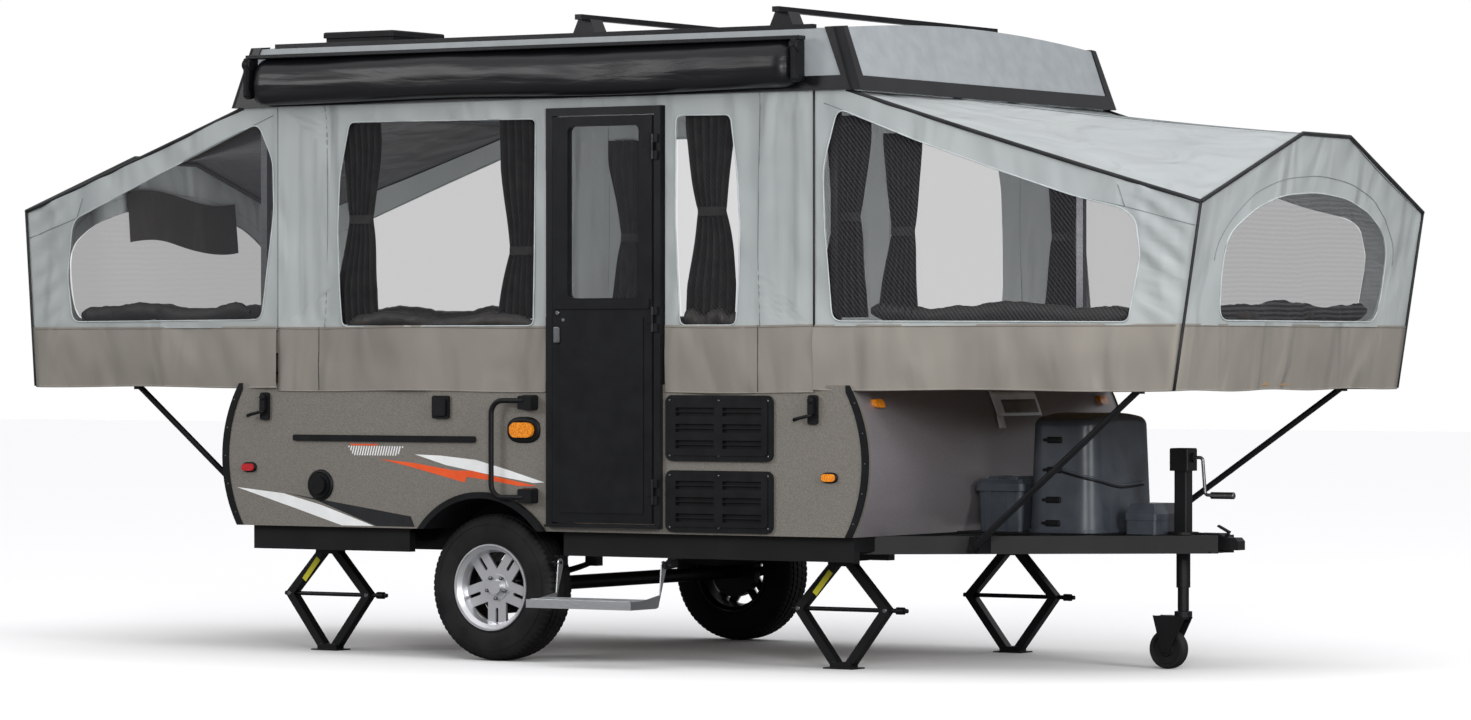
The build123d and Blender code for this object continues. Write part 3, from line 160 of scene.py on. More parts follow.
def mouldedPlastic(name, dark, light, roughness, grain=600, depth=0.15, gloss=0.25):
    # injection-moulded ABS: a fine spark-eroded grain, satin, with slightly paler worn patches
    shader = {"Roughness": roughness, "IOR": 1.5, "Specular IOR Level": gloss}
    fine = ("Noise", noisy(grain, 2))
    return patterned(name, shader, dark, light, ("Noise", noisy(14, 6)), reliefs=[(fine, depth, 0.6)])


def powderCoat(name, dark, light, roughness=0.42):
    # powder coat on welded steel: orange peel about 4 mm across and dust on it
    shader = {"Roughness": roughness, "Specular IOR Level": 0.25}
    peel = ("Noise", noisy(230, 2))
    return patterned(name, shader, dark, light, ("Noise", noisy(6, 8)), reliefs=[(peel, 0.2, 0.8)])


fineLines = ("Noise", noisy(6, 5), {"Scale": (4, 260, 260)})


def brushedMetal(name, dark, light, roughness):
    # drawn or rolled metal: fine lines along its length that stretch the highlights
    shader = {"Metallic": 1.0, "Roughness": roughness}
    return patterned(name, shader, dark, light, fineLines, reliefs=[(None, 0.15, 0.4)])


def sealedWood(name, dark, light):
    # sanded and sealed plywood: fine long grain under a dull clear coat
    return patterned(name, {"Roughness": 0.6}, dark, light, fineLines, reliefs=[(None, 0.15, 0.4)])


def machinedWheel(name, dark, light):
    # cast wheel: the spokes' faces and the lip are machined bright, the barrel behind them is dark paint
    def face(tree, place):
        split = addNode(tree, "ShaderNodeSeparateXYZ", None, {"Vector": (place, "Object")})
        depth = addNode(tree, "ShaderNodeMath", {"operation": "ABSOLUTE"}, {"Value": (split, "Y")})
        outer = {"From Min": 0.962, "From Max": 0.972}
        return addNode(tree, "ShaderNodeMapRange", outer, {"Value": (depth, "Value")}), "Result"

    lathe = ("Noise", noisy(500, 2))
    shader = {"Metallic": 0.75, "Roughness": 0.32}
    return patterned(name, shader, dark, light, face, (0.05, 0.95), [(lathe, 0.1, 0.3)])


def coatedCanvas(name, dark, light):
    # acrylic-coated tent cloth: threads drawn 4 mm apart, with soft shade of old folds painted into its
    # colour
    shader = {"Roughness": 0.5, "Sheen Weight": 0.06, "Sheen Roughness": 0.5, "Specular IOR Level": 0.35}
    # painted shade: this cloudy colour stands for the shade of folds, apart from the cloth's relief
    folds = ("Noise", noisy(1.6, 3, Distortion=0.3))
    weave = ("Wave", {"Scale": 80, "Distortion": 0.4, "bands_direction": "Z"})
    pull = {"Scale": (1.0, 1.0, 0.34)}
    crush = ("Noise", noisy(4.2, 1.5, Distortion=0.7), pull)
    sharp = ("Noise", noisy(2.0, 1.5, Distortion=0.5, noise_type="RIDGED_MULTIFRACTAL"), pull)
    reliefs = [(weave, 0.08, 0.6), (crush, 0.8, 75), (sharp, 0.65, 24)]
    return patterned(name, shader, dark, light, folds, (0.25, 0.75), reliefs)


def wovenCloth(name, dark, light):
    # curtain cotton and mattress ticking: a plain weave drawn coarse enough to show
    shader = {"Roughness": 0.9, "Sheen Weight": 0.06, "Specular IOR Level": 0.1}
    weave = ("Wave", {"Scale": 150, "bands_direction": "DIAGONAL"})
    return patterned(name, shader, dark, light, ("Noise", noisy(18, 5)), reliefs=[(weave, 0.2, 0.6)])


def insectMesh(name, dark, light, alpha):
    # polyester insect mesh: a smoky film with its threads drawn 14 mm apart, the real ones being 1 mm
    shader = {"Roughness": 0.8, "Alpha": alpha, "Specular IOR Level": 0.05}
    threads = ("Wave", {"Scale": 22, "bands_direction": "X"}, {"Rotation": (0.3, math.radians(38), 0.2)})
    return patterned(name, shader, dark, light, threads, (0.2, 0.8))


def glossVinyl(name, dark, light):
    # calendered vinyl: smooth and glossy, pulled into long shallow folds
    shader = {"Roughness": 0.34, "IOR": 1.53, "Specular IOR Level": 0.3}
    folds = ("Noise", noisy(3, 4, Distortion=0.5), {"Scale": (0.5, 3, 3.4)})
    return patterned(name, shader, dark, light, folds, reliefs=[(None, 0.6, 12)])


def mouldedLens(name, dark, light):
    # moulded acrylic lamp lens with prisms about 6 mm apart, glossy on the outside
    shader = {"Roughness": 0.12, "IOR": 1.49, "Coat Weight": 0.6}
    prisms = ("Voronoi", {"Scale": 150})
    return patterned(name, shader, dark, light, prisms, (0.0, 0.8), [(None, 0.5, 1.5)])


def tyreRubber(name, dark, light):
    # vulcanised rubber: charcoal, faintly brown where road dust lies
    shader = {"Roughness": 0.7, "IOR": 1.52, "Specular IOR Level": 0.2}
    return patterned(name, shader, dark, light, ("Noise", noisy(9, 8)), reliefs=[(None, 0.15, 0.8)])


def paperFloor(name, bounce, seen):
    # paper sweep: white to the eye, but it throws little light back up under the trailer
    def eye(tree, place):
        return addNode(tree, "ShaderNodeLightPath"), "Is Camera Ray"

    shader = {"Roughness": 0.95, "Specular IOR Level": 0.0}
    return patterned(name, shader, bounce, seen, eye, (0.0, 1.0), [(("Noise", noisy(20, 2)), 0.02, 0.5)])


finishes = {
    "sidePaint": pebbledPaint("pebbledWarmGreyPaint", "#635f59", "#847f78", 0.2, 0.45),
    "frontPaint": pebbledPaint("pebbledDarkMetallicPaint", "#7e7a7d", "#9b9599", 0.45, 0.36),
    "blackPlastic": mouldedPlastic("mouldedBlackAbs", "#0d0e0f", "#161719", 0.45, gloss=0.16),
    "frameSteel": powderCoat("blackPowderCoat", "#0b0c0d", "#151617"),
    "zincSteel": brushedMetal("zincPlatedSteel", "#5c5d5f", "#85878a", 0.38),
    "darkTube": powderCoat("blackPaintedTube", "#101113", "#1a1b1d", 0.35),
    "wheelAlloy": machinedWheel("machinedWheelAlloy", "#232427", "#cfd0d3"),
    "stepAlloy": brushedMetal("anodisedAluminium", "#b4b6b9", "#dcdee0", 0.36),
    "blackAlloy": powderCoat("blackAnodisedExtrusion", "#0d0e10", "#18191c", 0.3),
    "gelCoat": mouldedPlastic("lightGreyGelCoat", "#8f9497", "#9a9fa2", 0.34, 40, 0.05),
    "canvas": coatedCanvas("lightGreyCoatedCanvas", "#989d9e", "#a9aeae"),
    # painted shade: the tent cloth's inside is the same canvas drawn dark grey for the shade that falls
    # inside the tent
    "shadedCanvasInside": coatedCanvas("canvasInsidePaintedShade", "#4b4c4d", "#5a5b5c"),
    "band": coatedCanvas("taupeCoatedCanvas", "#7a756e", "#8b867e"),
    "piping": mouldedPlastic("blackVinylPiping", "#1b1c1d", "#2a2b2c", 0.5),
    "awningVinyl": glossVinyl("blackAwningVinyl", "#0b0c0e", "#151619"),
    "mesh": insectMesh("greyInsectMesh", "#38383c", "#56565a", 0.18),
    "tentMesh": insectMesh("tentInsectMesh", "#323236", "#5a5a5e", 0.31),
    "endMesh": insectMesh("doubledInsectMesh", "#323236", "#56565a", 0.46),
    "curtain": wovenCloth("charcoalCurtainCotton", "#191918", "#292827"),
    "flap": coatedCanvas("charcoalWindowFlap", "#1f1d1c", "#312e2b"),
    "ticking": wovenCloth("greyMattressTicking", "#6f6a64", "#85807a"),
    "plywood": sealedWood("sealedPlywood", "#8a6d4a", "#a4855c"),
    "slate": mouldedPlastic("slatePolyethylene", "#363b42", "#434950", 0.3, 300, 0.2, 0.5),
    "doorSkin": mouldedPlastic("blackGelCoatedDoor", "#131417", "#1a1b1e", 0.35, 300, 0.08, 0.15),
    "amber": mouldedLens("amberAcrylicLens", "#c65a08", "#f39a22"),
    "red": mouldedLens("redAcrylicLens", "#8e1118", "#c7212a"),
    "tyre": tyreRubber("tyreRubber", "#131314", "#232322"),
    "stitching": wovenCloth("greySeamThread", "#6f7576", "#82888a"),
    "binding": wovenCloth("paleWindowBinding", "#a9afb0", "#bfc4c4"),
    "bandSeam": wovenCloth("taupeSeamThread", "#6f6a63", "#7d7870"),
    "curtainTie": wovenCloth("charcoalTieCotton", "#242423", "#343332"),
    "whiteVinyl": mouldedPlastic("whiteDecalVinyl", "#dfe0e0", "#eceded", 0.4, 300, 0.05),
    "orangeVinyl": mouldedPlastic("orangeDecalVinyl", "#dc5226", "#e75c2c", 0.4, 300, 0.05),
    "blackVinyl": mouldedPlastic("blackDecalVinyl", "#1d1e20", "#25262a", 0.4, 300, 0.05),
    "yellowVinyl": mouldedPlastic("yellowDecalVinyl", "#c9c22e", "#d9d23c", 0.4, 300, 0.05),
    "floor": paperFloor("paleStudioFloor", "#858585", "#f7f7f7"),
}
print("materials made:", len(finishes))

# each finish and the CAD nodes that have it
nodeFinish = {
    "frameSteel": "chassis_frame hitch_coupler axle_beam leaf_springs step_bracket tongue_jack jack_leg "
                  "caster_fork tongue_tray corner_jacks_front corner_jacks_rear",
    "blackPlastic": "corner_trims wheel_wells roof_vent_base roof_vent_lid appliance_vents side_latches "
                    "side_fittings grab_handle",
    "blackAlloy": "roof_trims roof_side_rails roof_rack door_frame",
    "zincSteel": "lift_posts tent_bow_front tent_bow_rear jack_crank",
    "plywood": "box_floor bunk_front bunk_rear", "slate": "gas_cover battery_box accessory_box",
    "sidePaint": "side_wall_right side_wall_left", "frontPaint": "front_wall rear_wall",
    "tyre": "tyre_right tyre_left caster_wheel", "wheelAlloy": "rim_right rim_left",
    "canvas": "tent_walls tent_bunk_front tent_bunk_rear", "mesh": "screens_walls door_screen",
    "tentMesh": "screens_bunk_front screens_bunk_rear", "ticking": "mattress_front mattress_rear",
    "darkTube": "bunk_struts_front bunk_struts_rear", "gelCoat": "roof_shell", "doorSkin": "door",
    "awningVinyl": "awning_bag", "stepAlloy": "entry_step", "amber": "amber_lamps", "red": "red_lamps",
}
for finish, names in nodeFinish.items():
    for node in names.split():
        slots = nodes[node].data.materials
        slots.clear()
        slots.append(finishes[finish])


# Mesh helpers

def placed(name, mesh, body):
    piece = bpy.data.objects.new(name, mesh)
    bpy.context.collection.objects.link(piece)
    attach(piece, body)
    return piece


def newPiece(name, points, faces, finish, body="trailer", smooth=True):
    mesh = bpy.data.meshes.new(name)
    mesh.from_pydata([tuple(p) for p in points], [], faces)
    for one in finish if isinstance(finish, list) else [finish]:
        mesh.materials.append(finishes[one])
    if smooth:
        mesh.polygons.foreach_set("use_smooth", [True] * len(mesh.polygons))
    mesh.update()
    return placed(name, mesh, body)


def loft(name, rings, finish, body="trailer", wrap=True, loop=False, caps=False, smooth=True):
    # faces between rings of points; wrap closes each ring, loop joins the last ring to the first
    count, wide = len(rings), len(rings[0])
    faces = []
    for i in range(count if loop else count - 1):
        a, b = i * wide, (i + 1) % count * wide
        for k in range(wide if wrap else wide - 1):
            m = (k + 1) % wide
            faces.append((a + k, a + m, b + m, b + k))
    if caps:
        faces.append(tuple(range(wide))[::-1])
        faces.append(tuple((count - 1) * wide + k for k in range(wide)))
    return newPiece(name, [point for ring in rings for point in ring], faces, finish, body, smooth)


def circle(count):
    return [(math.cos(fullTurn * k / count), math.sin(fullTurn * k / count)) for k in range(count)]


def clamp(value, low=0.0, high=1.0):
    return max(low, min(high, value))


def thicken(piece, metres, offset=-1.0):
    shell = piece.modifiers.new("thickness", "SOLIDIFY")
    shell.thickness = metres
    shell.offset = offset
    shell.use_even_offset = False
    return piece


def applyModifiers(piece):
    # live modifiers are baked into the final mesh
    evaluated = piece.evaluated_get(bpy.context.evaluated_depsgraph_get())
    made = bpy.data.meshes.new_from_object(evaluated)
    made.name = piece.name
    piece.modifiers.clear()
    piece.data = made
    return piece


def gridPiece(name, columns, rows, place, finish, closed=False):
    # place(u, v) gives a point for u and v from 0 to 1
    across = range(columns if closed else columns + 1)
    rings = [[place(i / columns, j / rows) for i in across] for j in range(rows + 1)]
    return loft(name, rings, finish, wrap=closed)


def tube(name, path, radius, finish, body="trailer", sides=10, closed=False):
    # a round tube, cord or piping along a list of points
    path = [Vector(p) for p in path]
    rings = []
    count = len(path)
    up = Vector((0.123, 0.31, 0.94)).normalized()
    for i, p in enumerate(path):
        before = path[i - 1] if i or closed else path[0]
        after = path[(i + 1) % count] if i < count - 1 or closed else path[-1]
        along = (after - before).normalized()
        sideways = along.cross(up).normalized()
        lift = sideways.cross(along)
        thick = radius(i / max(1, count - 1)) if callable(radius) else radius
        rings.append([p + sideways * c * thick + lift * s * thick for c, s in circle(sides)])
    return loft(name, rings, finish, body, loop=closed, caps=not closed)


def mergePieces(name, pieces):
    # joins pieces that ride on the same body into one object
    bpy.ops.object.select_all(action="DESELECT")
    for piece in pieces:
        piece.select_set(True)
    bpy.context.view_layer.objects.active = pieces[0]
    bpy.ops.object.join()
    pieces[0].name = name
    pieces[0].data.name = name
    return pieces[0]


def crossing(outline, centre, angle):
    # how far a ray from the centre runs before it meets a closed outline
    dx, dz = math.cos(angle), math.sin(angle)
    best = 0.0
    for (x0, z0), (x1, z1) in zip(outline, outline[1:] + outline[:1]):
        ex, ez = x1 - x0, z1 - z0
        cross = dx * ez - dz * ex
        if abs(cross) < 1e-12:
            continue
        px, pz = x0 - centre[0], z0 - centre[1]
        t = (px * ez - pz * ex) / cross
        s = (px * dz - pz * dx) / cross
        if t > 0 and -1e-9 <= s <= 1 + 1e-9:
            best = max(best, t)
    return best


def onRay(centre, angle, reach):
    return centre[0] + math.cos(angle) * reach, centre[1] + math.sin(angle) * reach


def windowPanel(name, outer, inner, lift, finish, rings=12, fan=170):
    # cloth between an outer outline and a window's, both (x, z) lists; lift(x, z) makes the 3-D point
    centre = [sum(p[k] for p in inner) / len(inner) for k in (0, 1)]
    corners = [math.atan2(p[1] - centre[1], p[0] - centre[0]) for p in outer + inner]
    evenly = [-math.pi + fullTurn * k / fan for k in range(fan)]
    angles = sorted(set(round(a, 4) for a in corners + evenly))
    kept = [angles[0]]
    for a in angles[1:]:
        if a - kept[-1] > 0.004:
            kept.append(a)
    rays = []
    for a in kept:
        near, far = crossing(inner, centre, a), crossing(outer, centre, a)
        rays.append([lift(*onRay(centre, a, near + (far - near) * r / rings)) for r in range(rings + 1)])
    return loft(name, rays, finish, wrap=False, loop=True)


def windowFilm(name, inner, lift, finish, rings=8, fan=96):
    # the mesh that fills a window
    centre = [sum(p[k] for p in inner) / len(inner) for k in (0, 1)]
    points, faces = [lift(*centre)], []
    for k in range(fan):
        a = -math.pi + fullTurn * k / fan
        far = crossing(inner, centre, a)
        points += [lift(*onRay(centre, a, far * r / rings)) for r in range(1, rings + 1)]
        near, following = 1 + k * rings, 1 + (k + 1) % fan * rings
        faces.append((0, near, following))
        faces += [(near + r, near + r + 1, following + r + 1, following + r) for r in range(rings - 1)]
    return newPiece(name, points, faces, finish)


def rounded(corners, radius, steps=5):
    # a closed outline with each corner rounded
    made = []
    count = len(corners)
    for i in range(count):
        a, b, c = Vector(corners[i - 1]), Vector(corners[i]), Vector(corners[(i + 1) % count])
        into, out = (a - b), (c - b)
        cut = min(radius, into.length * 0.45, out.length * 0.45)
        start, end = b + into.normalized() * cut, b + out.normalized() * cut
        for k in range(steps + 1):
            t = k / steps
            p = start.lerp(b, t).lerp(b.lerp(end, t), t)
            made.append((p.x, p.y))
    return made


def wobble(x, z, seed, size=0.005):
    # slack cloth: long soft waves with a few small creases on them
    long = noise.noise(Vector((x * 2.1, z * 1.3, seed)))
    short = noise.noise(Vector((x * 7.0 + z * 3.0, z * 5.0 - x * 2.0, seed + 9.0)))
    crease = abs(noise.noise(Vector((x * 5.0 - z * 4.0, z * 2.2, seed + 31.0))))
    return size * (1.5 * long + 0.55 * short - 0.9 * crease)


def meshFold(x, z, seed):
    # slack mesh hangs in slanting folds
    broad = noise.noise(Vector((x * 5.0 + z * 2.4, z * 0.9 - x * 0.5, seed + 50.0)))
    fine = noise.noise(Vector((x * 13.0 + z * 7.0, z * 1.4, seed)))
    return 0.007 * broad + 0.004 * fine


def faceOutward(piece, way):
    # a sheet's faces are turned so that its outside looks this way
    total = sum((face.normal * face.area for face in piece.data.polygons), Vector())
    if total.dot(Vector(way)) < 0:
        piece.data.flip_normals()
    return piece


def lined(piece, metres):
    # gives a sheet a back of its second finish
    thicken(piece, metres).modifiers["thickness"].material_offset = 1
    return applyModifiers(piece)


def bar(name, low, high, finish, body="trailer", edge=0.003):
    # a bevelled bar or plate between two corners
    mesh = bpy.data.meshes.new(name)
    build = bmesh.new()
    bmesh.ops.create_cube(build, size=1.0)
    middle, size = (low + high) / 2, high - low
    for vertex in build.verts:
        vertex.co = Vector([middle[k] + vertex.co[k] * abs(size[k]) for k in range(3)])
    bmesh.ops.bevel(build, geom=build.edges[:] + build.verts[:], offset=edge, segments=2, profile=0.5,
                    affect="EDGES", clamp_overlap=True)
    build.to_mesh(mesh)
    build.free()
    mesh.materials.append(finishes[finish])
    return placed(name, mesh, body)


def turned(name, centre, axis, profile, finish, body="trailer", steps=24):
    # a turned piece: profile is a list of (distance along the axis, radius)
    axis = Vector(axis).normalized()
    side = axis.orthogonal().normalized()
    other = axis.cross(side)
    rings = [[Vector(centre) + axis * along + (side * c + other * s) * radius for c, s in circle(steps)]
             for along, radius in profile]
    piece = loft(name, rings, finish, body, caps=True, smooth=False)
    piece.data.polygons.foreach_set("use_smooth", [len(face.vertices) == 4 for face in piece.data.polygons])
    return piece


# The floor, the sky and the lights

studio = {
    "sky": "#fdfdff", "horizon": 0.12, "zenith": 1.5, "backdrop": 1.0, "floorHalf": 60.0, "floorDrop": 0.001,
    # each light: its place, its target, its width and height, its power in watts, whether the camera sees it
    "lights": {
        "keyPanel": ((-8.5, -11.0, 6.0), (0, -1, 1.4), (4, 4), 420, True),
        "frontPanel": ((12.0, -4.5, 4.0), (1.6, 0, 0.9), (3, 4), 600, True),
        "sheenPanel": ((7.5, -9.5, 3.4), (1.6, -0.9, 0.9), (2.5, 2.5), 480, True),
        # daylight that the pale cloth lets through, thrown on the far walls' insides
        "frontTentGlow": ((2.15, -0.55, 1.75), (2.15, 1.0, 1.75), (1.1, 0.4), 9, False),
        "boxGlow": ((0.0, -0.55, 1.8), (0.0, 1.0, 1.8), (2.2, 0.4), 14, False),
        "rearTentGlow": ((-2.1, -0.55, 1.75), (-2.1, 1.0, 1.75), (0.9, 0.4), 7, False),
    },
}


def makeFloor():
    half, height = studio["floorHalf"], trailer["ground"] - studio["floorDrop"]
    corners = [(x * half, y * half, height) for x, y in ((-1, -1), (1, -1), (1, 1), (-1, 1))]
    newPiece("studioFloor", corners, [(0, 1, 2, 3)], "floor", smooth=False)


def makeSky():
    # a soft overhead dome: weak at the horizon, strong above, with an even white backdrop behind the trailer
    world = bpy.data.worlds.new("softSky")
    world.use_nodes = True
    tree = world.node_tree
    dome = tree.nodes["Background"]
    dome.inputs["Color"].default_value = linear(studio["sky"])
    place = addNode(tree, "ShaderNodeTexCoord")
    split = addNode(tree, "ShaderNodeSeparateXYZ", None, {"Vector": (place, "Generated")})
    strength = {"From Min": 0.0, "From Max": 1.0, "To Min": studio["horizon"], "To Max": studio["zenith"]}
    rise = addNode(tree, "ShaderNodeMapRange", strength, {"Value": (split, "Z")})
    tree.links.new(rise.outputs["Result"], dome.inputs["Strength"])
    backdrop = addNode(tree, "ShaderNodeBackground", {"Strength": studio["backdrop"]})
    backdrop.inputs["Color"].default_value = linear("#ffffff")
    seen = addNode(tree, "ShaderNodeLightPath")
    both = addNode(tree, "ShaderNodeMixShader", None, {"Fac": (seen, "Is Camera Ray")})
    tree.links.new(dome.outputs["Background"], both.inputs[1])
    tree.links.new(backdrop.outputs["Background"], both.inputs[2])
    tree.links.new(both.outputs["Shader"], tree.nodes["World Output"].inputs["Surface"])
    bpy.context.scene.world = world


bpy.context.scene.view_settings.view_transform = "Standard"
makeCamera()
makeFloor()
makeSky()
for name, settings in studio["lights"].items():
    makeLight(name, *settings)
print("camera, floor and lights placed")


# Tents over the bunks

tents = {
    "front": {
        "way": 1, "seam": 1.352, "start": 1.501, "reach": 2.923, "lean": 0.16, "half": 1.0,
        "shoulder": 1.857, "peak": 2.143, "peakHalf": 0.214, "top": 2.3222, "edgeSag": 0.006,
        "topSag": 0.012, "seed": 3.0, "raise": 0.0, "joint": "front_bunk_slide", "keep": 0.21,
        "sideWindow": [(1.435, 1.405), (2.727, 1.398), (2.739, 1.467), (2.781, 1.667), (2.756, 1.798),
                       (2.697, 1.841), (2.484, 1.891), (2.182, 1.989), (1.832, 2.109), (1.462, 2.251),
                       (1.413, 2.085), (1.395, 1.998), (1.404, 1.767)],
        "valance": [(1.40, 2.272), (1.462, 2.251), (1.832, 2.109), (2.182, 1.989), (2.484, 1.891),
                    (2.714, 1.844), (3.011, 1.768)]},
    "rear": {
        "way": -1, "seam": 1.31, "start": 1.501, "reach": 2.705, "lean": 0.07, "half": 1.0,
        "shoulder": 1.9, "peak": 2.16, "peakHalf": 0.214, "top": 2.3222, "edgeSag": 0.003,
        "topSag": 0.045, "seed": 17.0, "raise": 0.02, "joint": "rear_bunk_slide", "keep": 0.22,
        "sideWindow": [(1.405, 1.419), (2.49, 1.414), (2.514, 1.628), (2.484, 1.829), (2.455, 1.868),
                       (1.972, 2.055), (1.422, 2.257), (1.34, 2.098), (1.333, 1.873), (1.377, 1.589)],
        "valance": [(1.34, 2.287), (1.422, 2.257), (1.972, 2.055), (2.455, 1.868), (2.743, 1.784)]},
}
# the left half of the end window and of the seam over it, and their tops; the rear ones sit a little higher
tentEnd = {"window": [(0.705, 1.405), (0.735, 1.56), (0.72, 1.73), (0.55, 1.835), (0.30, 1.9)],
           "windowTop": (0.0, 1.918), "archTop": (0.0, 1.985),
           "arch": [(0.3, 1.965), (0.55, 1.9), (0.70, 1.80), (0.80, 1.70), (0.79, 1.42)]}
wallY = 1.0842
clothBottom = 1.134
bandLap = 0.006
# how near a seam the cloth is held, how slack it is, and how far the mesh, bindings and seams lie off it
slackForm = {"ease": 0.07, "boxEase": 0.06, "depth": 0.008, "most": 0.014, "boxMost": 0.012,
             "meshInside": 0.012, "endMeshInside": 0.014, "bindingOut": 0.002, "seamOut": 0.001}


def mirrored(outline):
    return [(-across, height) for across, height in reversed(outline)]


def shares(count):
    return [k / count for k in range(count + 1)]


def endX(tent, z):
    return tent["reach"] + tent["lean"] * (z - 1.15)


def bowHeight(tent, y):
    # the bent tube under the tent's outer edge
    across = (abs(y) - tent["peakHalf"]) / (tent["half"] - tent["peakHalf"])
    return tent["peak"] + (tent["shoulder"] - tent["peak"]) * max(0.0, across)


def sideY(tent, x):
    # the side walls draw in from the trailer's corner seam to the bunk's outer end
    share = (x - tent["seam"]) / (tent["reach"] - tent["seam"])
    return wallY + (tent["half"] - wallY) * clamp(share)


def topPoint(tent, across, v):
    # the tent's roof: from the trailer's roof edge to the bow, hanging a little between them;
    # across runs from -1 on the right edge to 1 on the left
    end = across * tent["half"]
    bow = bowHeight(tent, end)
    x = tent["start"] + (endX(tent, bow) - tent["start"]) * v
    slope = max(0.0, (abs(end) - tent["peakHalf"]) / (tent["half"] - tent["peakHalf"]))
    sag = tent["topSag"] + (tent["edgeSag"] - tent["topSag"]) * slope
    hollow = 0.022 * 4 * slope * (1 - slope) * v ** 0.5 * (1 - 0.5 * v)
    z = tent["top"] + (bow - tent["top"]) * v - sag * 4 * v * (1 - v) - hollow
    return x, across * sideY(tent, x), z


def foldsIn(piece):
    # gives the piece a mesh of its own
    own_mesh(piece)
    return piece


def seamLine(name, path, radius=0.0016):
    return tube(name, path, radius, "stitching", sides=5)


def cord(name, path, radius, sides=8):
    return tube(name, path, radius, "piping", sides=sides)


def edging(path):
    return tube("binding", path, 0.003, "binding", sides=6, closed=True)


def alongPath(points, step=0.05):
    # even points along straight runs
    made = [Vector(points[0])]
    for a, b in zip(points, points[1:]):
        a, b = Vector(a), Vector(b)
        count = max(1, int((b - a).length / step))
        made += [a.lerp(b, k / count) for k in range(1, count + 1)]
    return made


def makeTent(end):
    tent = tents[end]
    way, half, shoulder, seed = tent["way"], tent["half"], tent["shoulder"], tent["seed"]
    band, ease = trailer["bandTop"], slackForm["ease"]
    bound, sewn = slackForm["bindingOut"], slackForm["seamOut"]
    rim = [topPoint(tent, 1, 1 - t) for t in shares(16)]
    outer = [(tent["seam"], band), (endX(tent, band), band), (endX(tent, shoulder), shoulder)]
    outer += [(x, z) for x, y, z in rim[1:]] + [(tent["seam"], tent["top"])]
    window = rounded(tent["sideWindow"], 0.045)
    panels, films, seams, cords, bindings = [], [], [], [], []
    for side in handed.values():
        def lift(x, z, side=side, out=0.0):
            inside = max(0.0, min(z - band, endX(tent, z) - x, x - tent["seam"], ease)) / ease
            slack = wobble(x, z, seed + side, slackForm["depth"]) * inside - 0.004 * (1 - inside)
            # the corner's cloth is drawn up to the bow in slanting folds
            drawn = clamp((x - tent["reach"] + 0.19) / 0.08) * inside
            slack += drawn * 0.006 * math.sin((0.75 * x + z) * 57)
            return at(way * x, side * (sideY(tent, x) + min(slack, slackForm["most"]) + out), z)

        def film(x, z, side=side):
            return at(way * x, side * (sideY(tent, x) - slackForm["meshInside"] + meshFold(x, z, seed)), z)

        panels.append(windowPanel("sidePanel", outer, window, lift, "canvas"))
        faceOutward(panels[-1], (0, side, 0))
        films.append(windowFilm("sideFilm", window, film, "tentMesh"))
        bindings.append(edging([lift(x, z, out=bound) for x, z in window]))
        # the valance seam under the tent's edge, with its dart
        valance = [lift(p.x, p.y, out=sewn) for p in alongPath(tent["valance"])]
        dartX, dartZ = tent["valance"][-2]
        dart = [lift(dartX - 0.03 * t, dartZ + 0.085 * t, out=sewn) for t in shares(6)]
        seams += [seamLine("valanceSeam", valance), seamLine("dart", dart)]
        edge = [at(way * x, side * (abs(y) - 0.001), z + 0.001) for x, y, z in rim]
        cords.append(cord("edgeCord", edge, 0.0085))
        upright = [at(way * (endX(tent, z) + 0.001), side * (half + 0.001), z)
                   for z in (clothBottom, 1.25, 1.387, 1.55, 1.7, shoulder)]
        cords.append(cord("cornerCord", upright, 0.0065))
        corner = [lift(tent["seam"] + 0.002, z, out=0.003) for z in (band, 1.6, 1.8, 2.0, 2.2, tent["top"])]
        if end == "front":
            cords.append(cord("seamCord", corner, 0.0045, 6))
        else:
            seams.append(seamLine("seamCord", corner))

    def liftEnd(y, z, out=0.0):
        inside = max(0.0, min(z - band, half - abs(y), bowHeight(tent, y) - z, ease)) / ease
        slack = wobble(y, z, seed + 5, slackForm["depth"]) * inside - 0.003
        return at(way * (endX(tent, z) + slack + out), y, z)

    def filmEnd(y, z):
        return at(way * (endX(tent, z) - slackForm["endMeshInside"] + meshFold(y, z, seed + 3)), y, z)

    def raised(outline):
        return [(y, z + tent["raise"]) for y, z in outline]

    right = [(tent["peakHalf"], tent["peak"]), (half, shoulder)]
    bow = mirrored(right) + right
    opening = tentEnd["window"]
    wholeWindow = mirrored(opening[:1]) + opening + [tentEnd["windowTop"]] + mirrored(opening[1:])
    endWindow = rounded(raised(wholeWindow), 0.09)
    endOuter = [(-half, band), (half, band)] + bow[::-1]
    panels.append(windowPanel("endPanel", endOuter, endWindow, liftEnd, "canvas"))
    faceOutward(panels[-1], (way, 0, 0))
    films.append(windowFilm("endFilm", endWindow, filmEnd, "endMesh"))
    bindings.append(edging([liftEnd(y, z, bound) for y, z in endWindow]))
    arch = mirrored(tentEnd["arch"]) + [tentEnd["archTop"]] + tentEnd["arch"]
    seams.append(seamLine("archSeam", [liftEnd(y, z, sewn) for y, z in raised(rounded(arch, 0.1)[6:-6])]))
    bowPath = [at(way * (endX(tent, p.y) + 0.002), p.x, p.y + 0.002) for p in alongPath(bow)]
    cords.append(cord("bowCord", bowPath, 0.0085))
    for side in handed.values():
        ridge = [topPoint(tent, side * tent["peakHalf"] / half, t) for t in shares(14)]
        seams.append(seamLine("ridgeSeam", [at(way * x, y, z + 0.002) for x, y, z in ridge], 0.0022))

    def roofPlace(u, v):
        x, y, z = topPoint(tent, 2 * u - 1, v)
        ease = clamp(min(8 * v, 8 * (1 - v), 8 * u, 8 * (1 - u)))
        # pulled folds that run from the roof to the bow
        pull = 0.006 * noise.noise(Vector((y * 9.0, x * 0.9, seed))) + wobble(x, y, seed + 11, 0.007)
        return at(way * x, y, z + pull * ease)
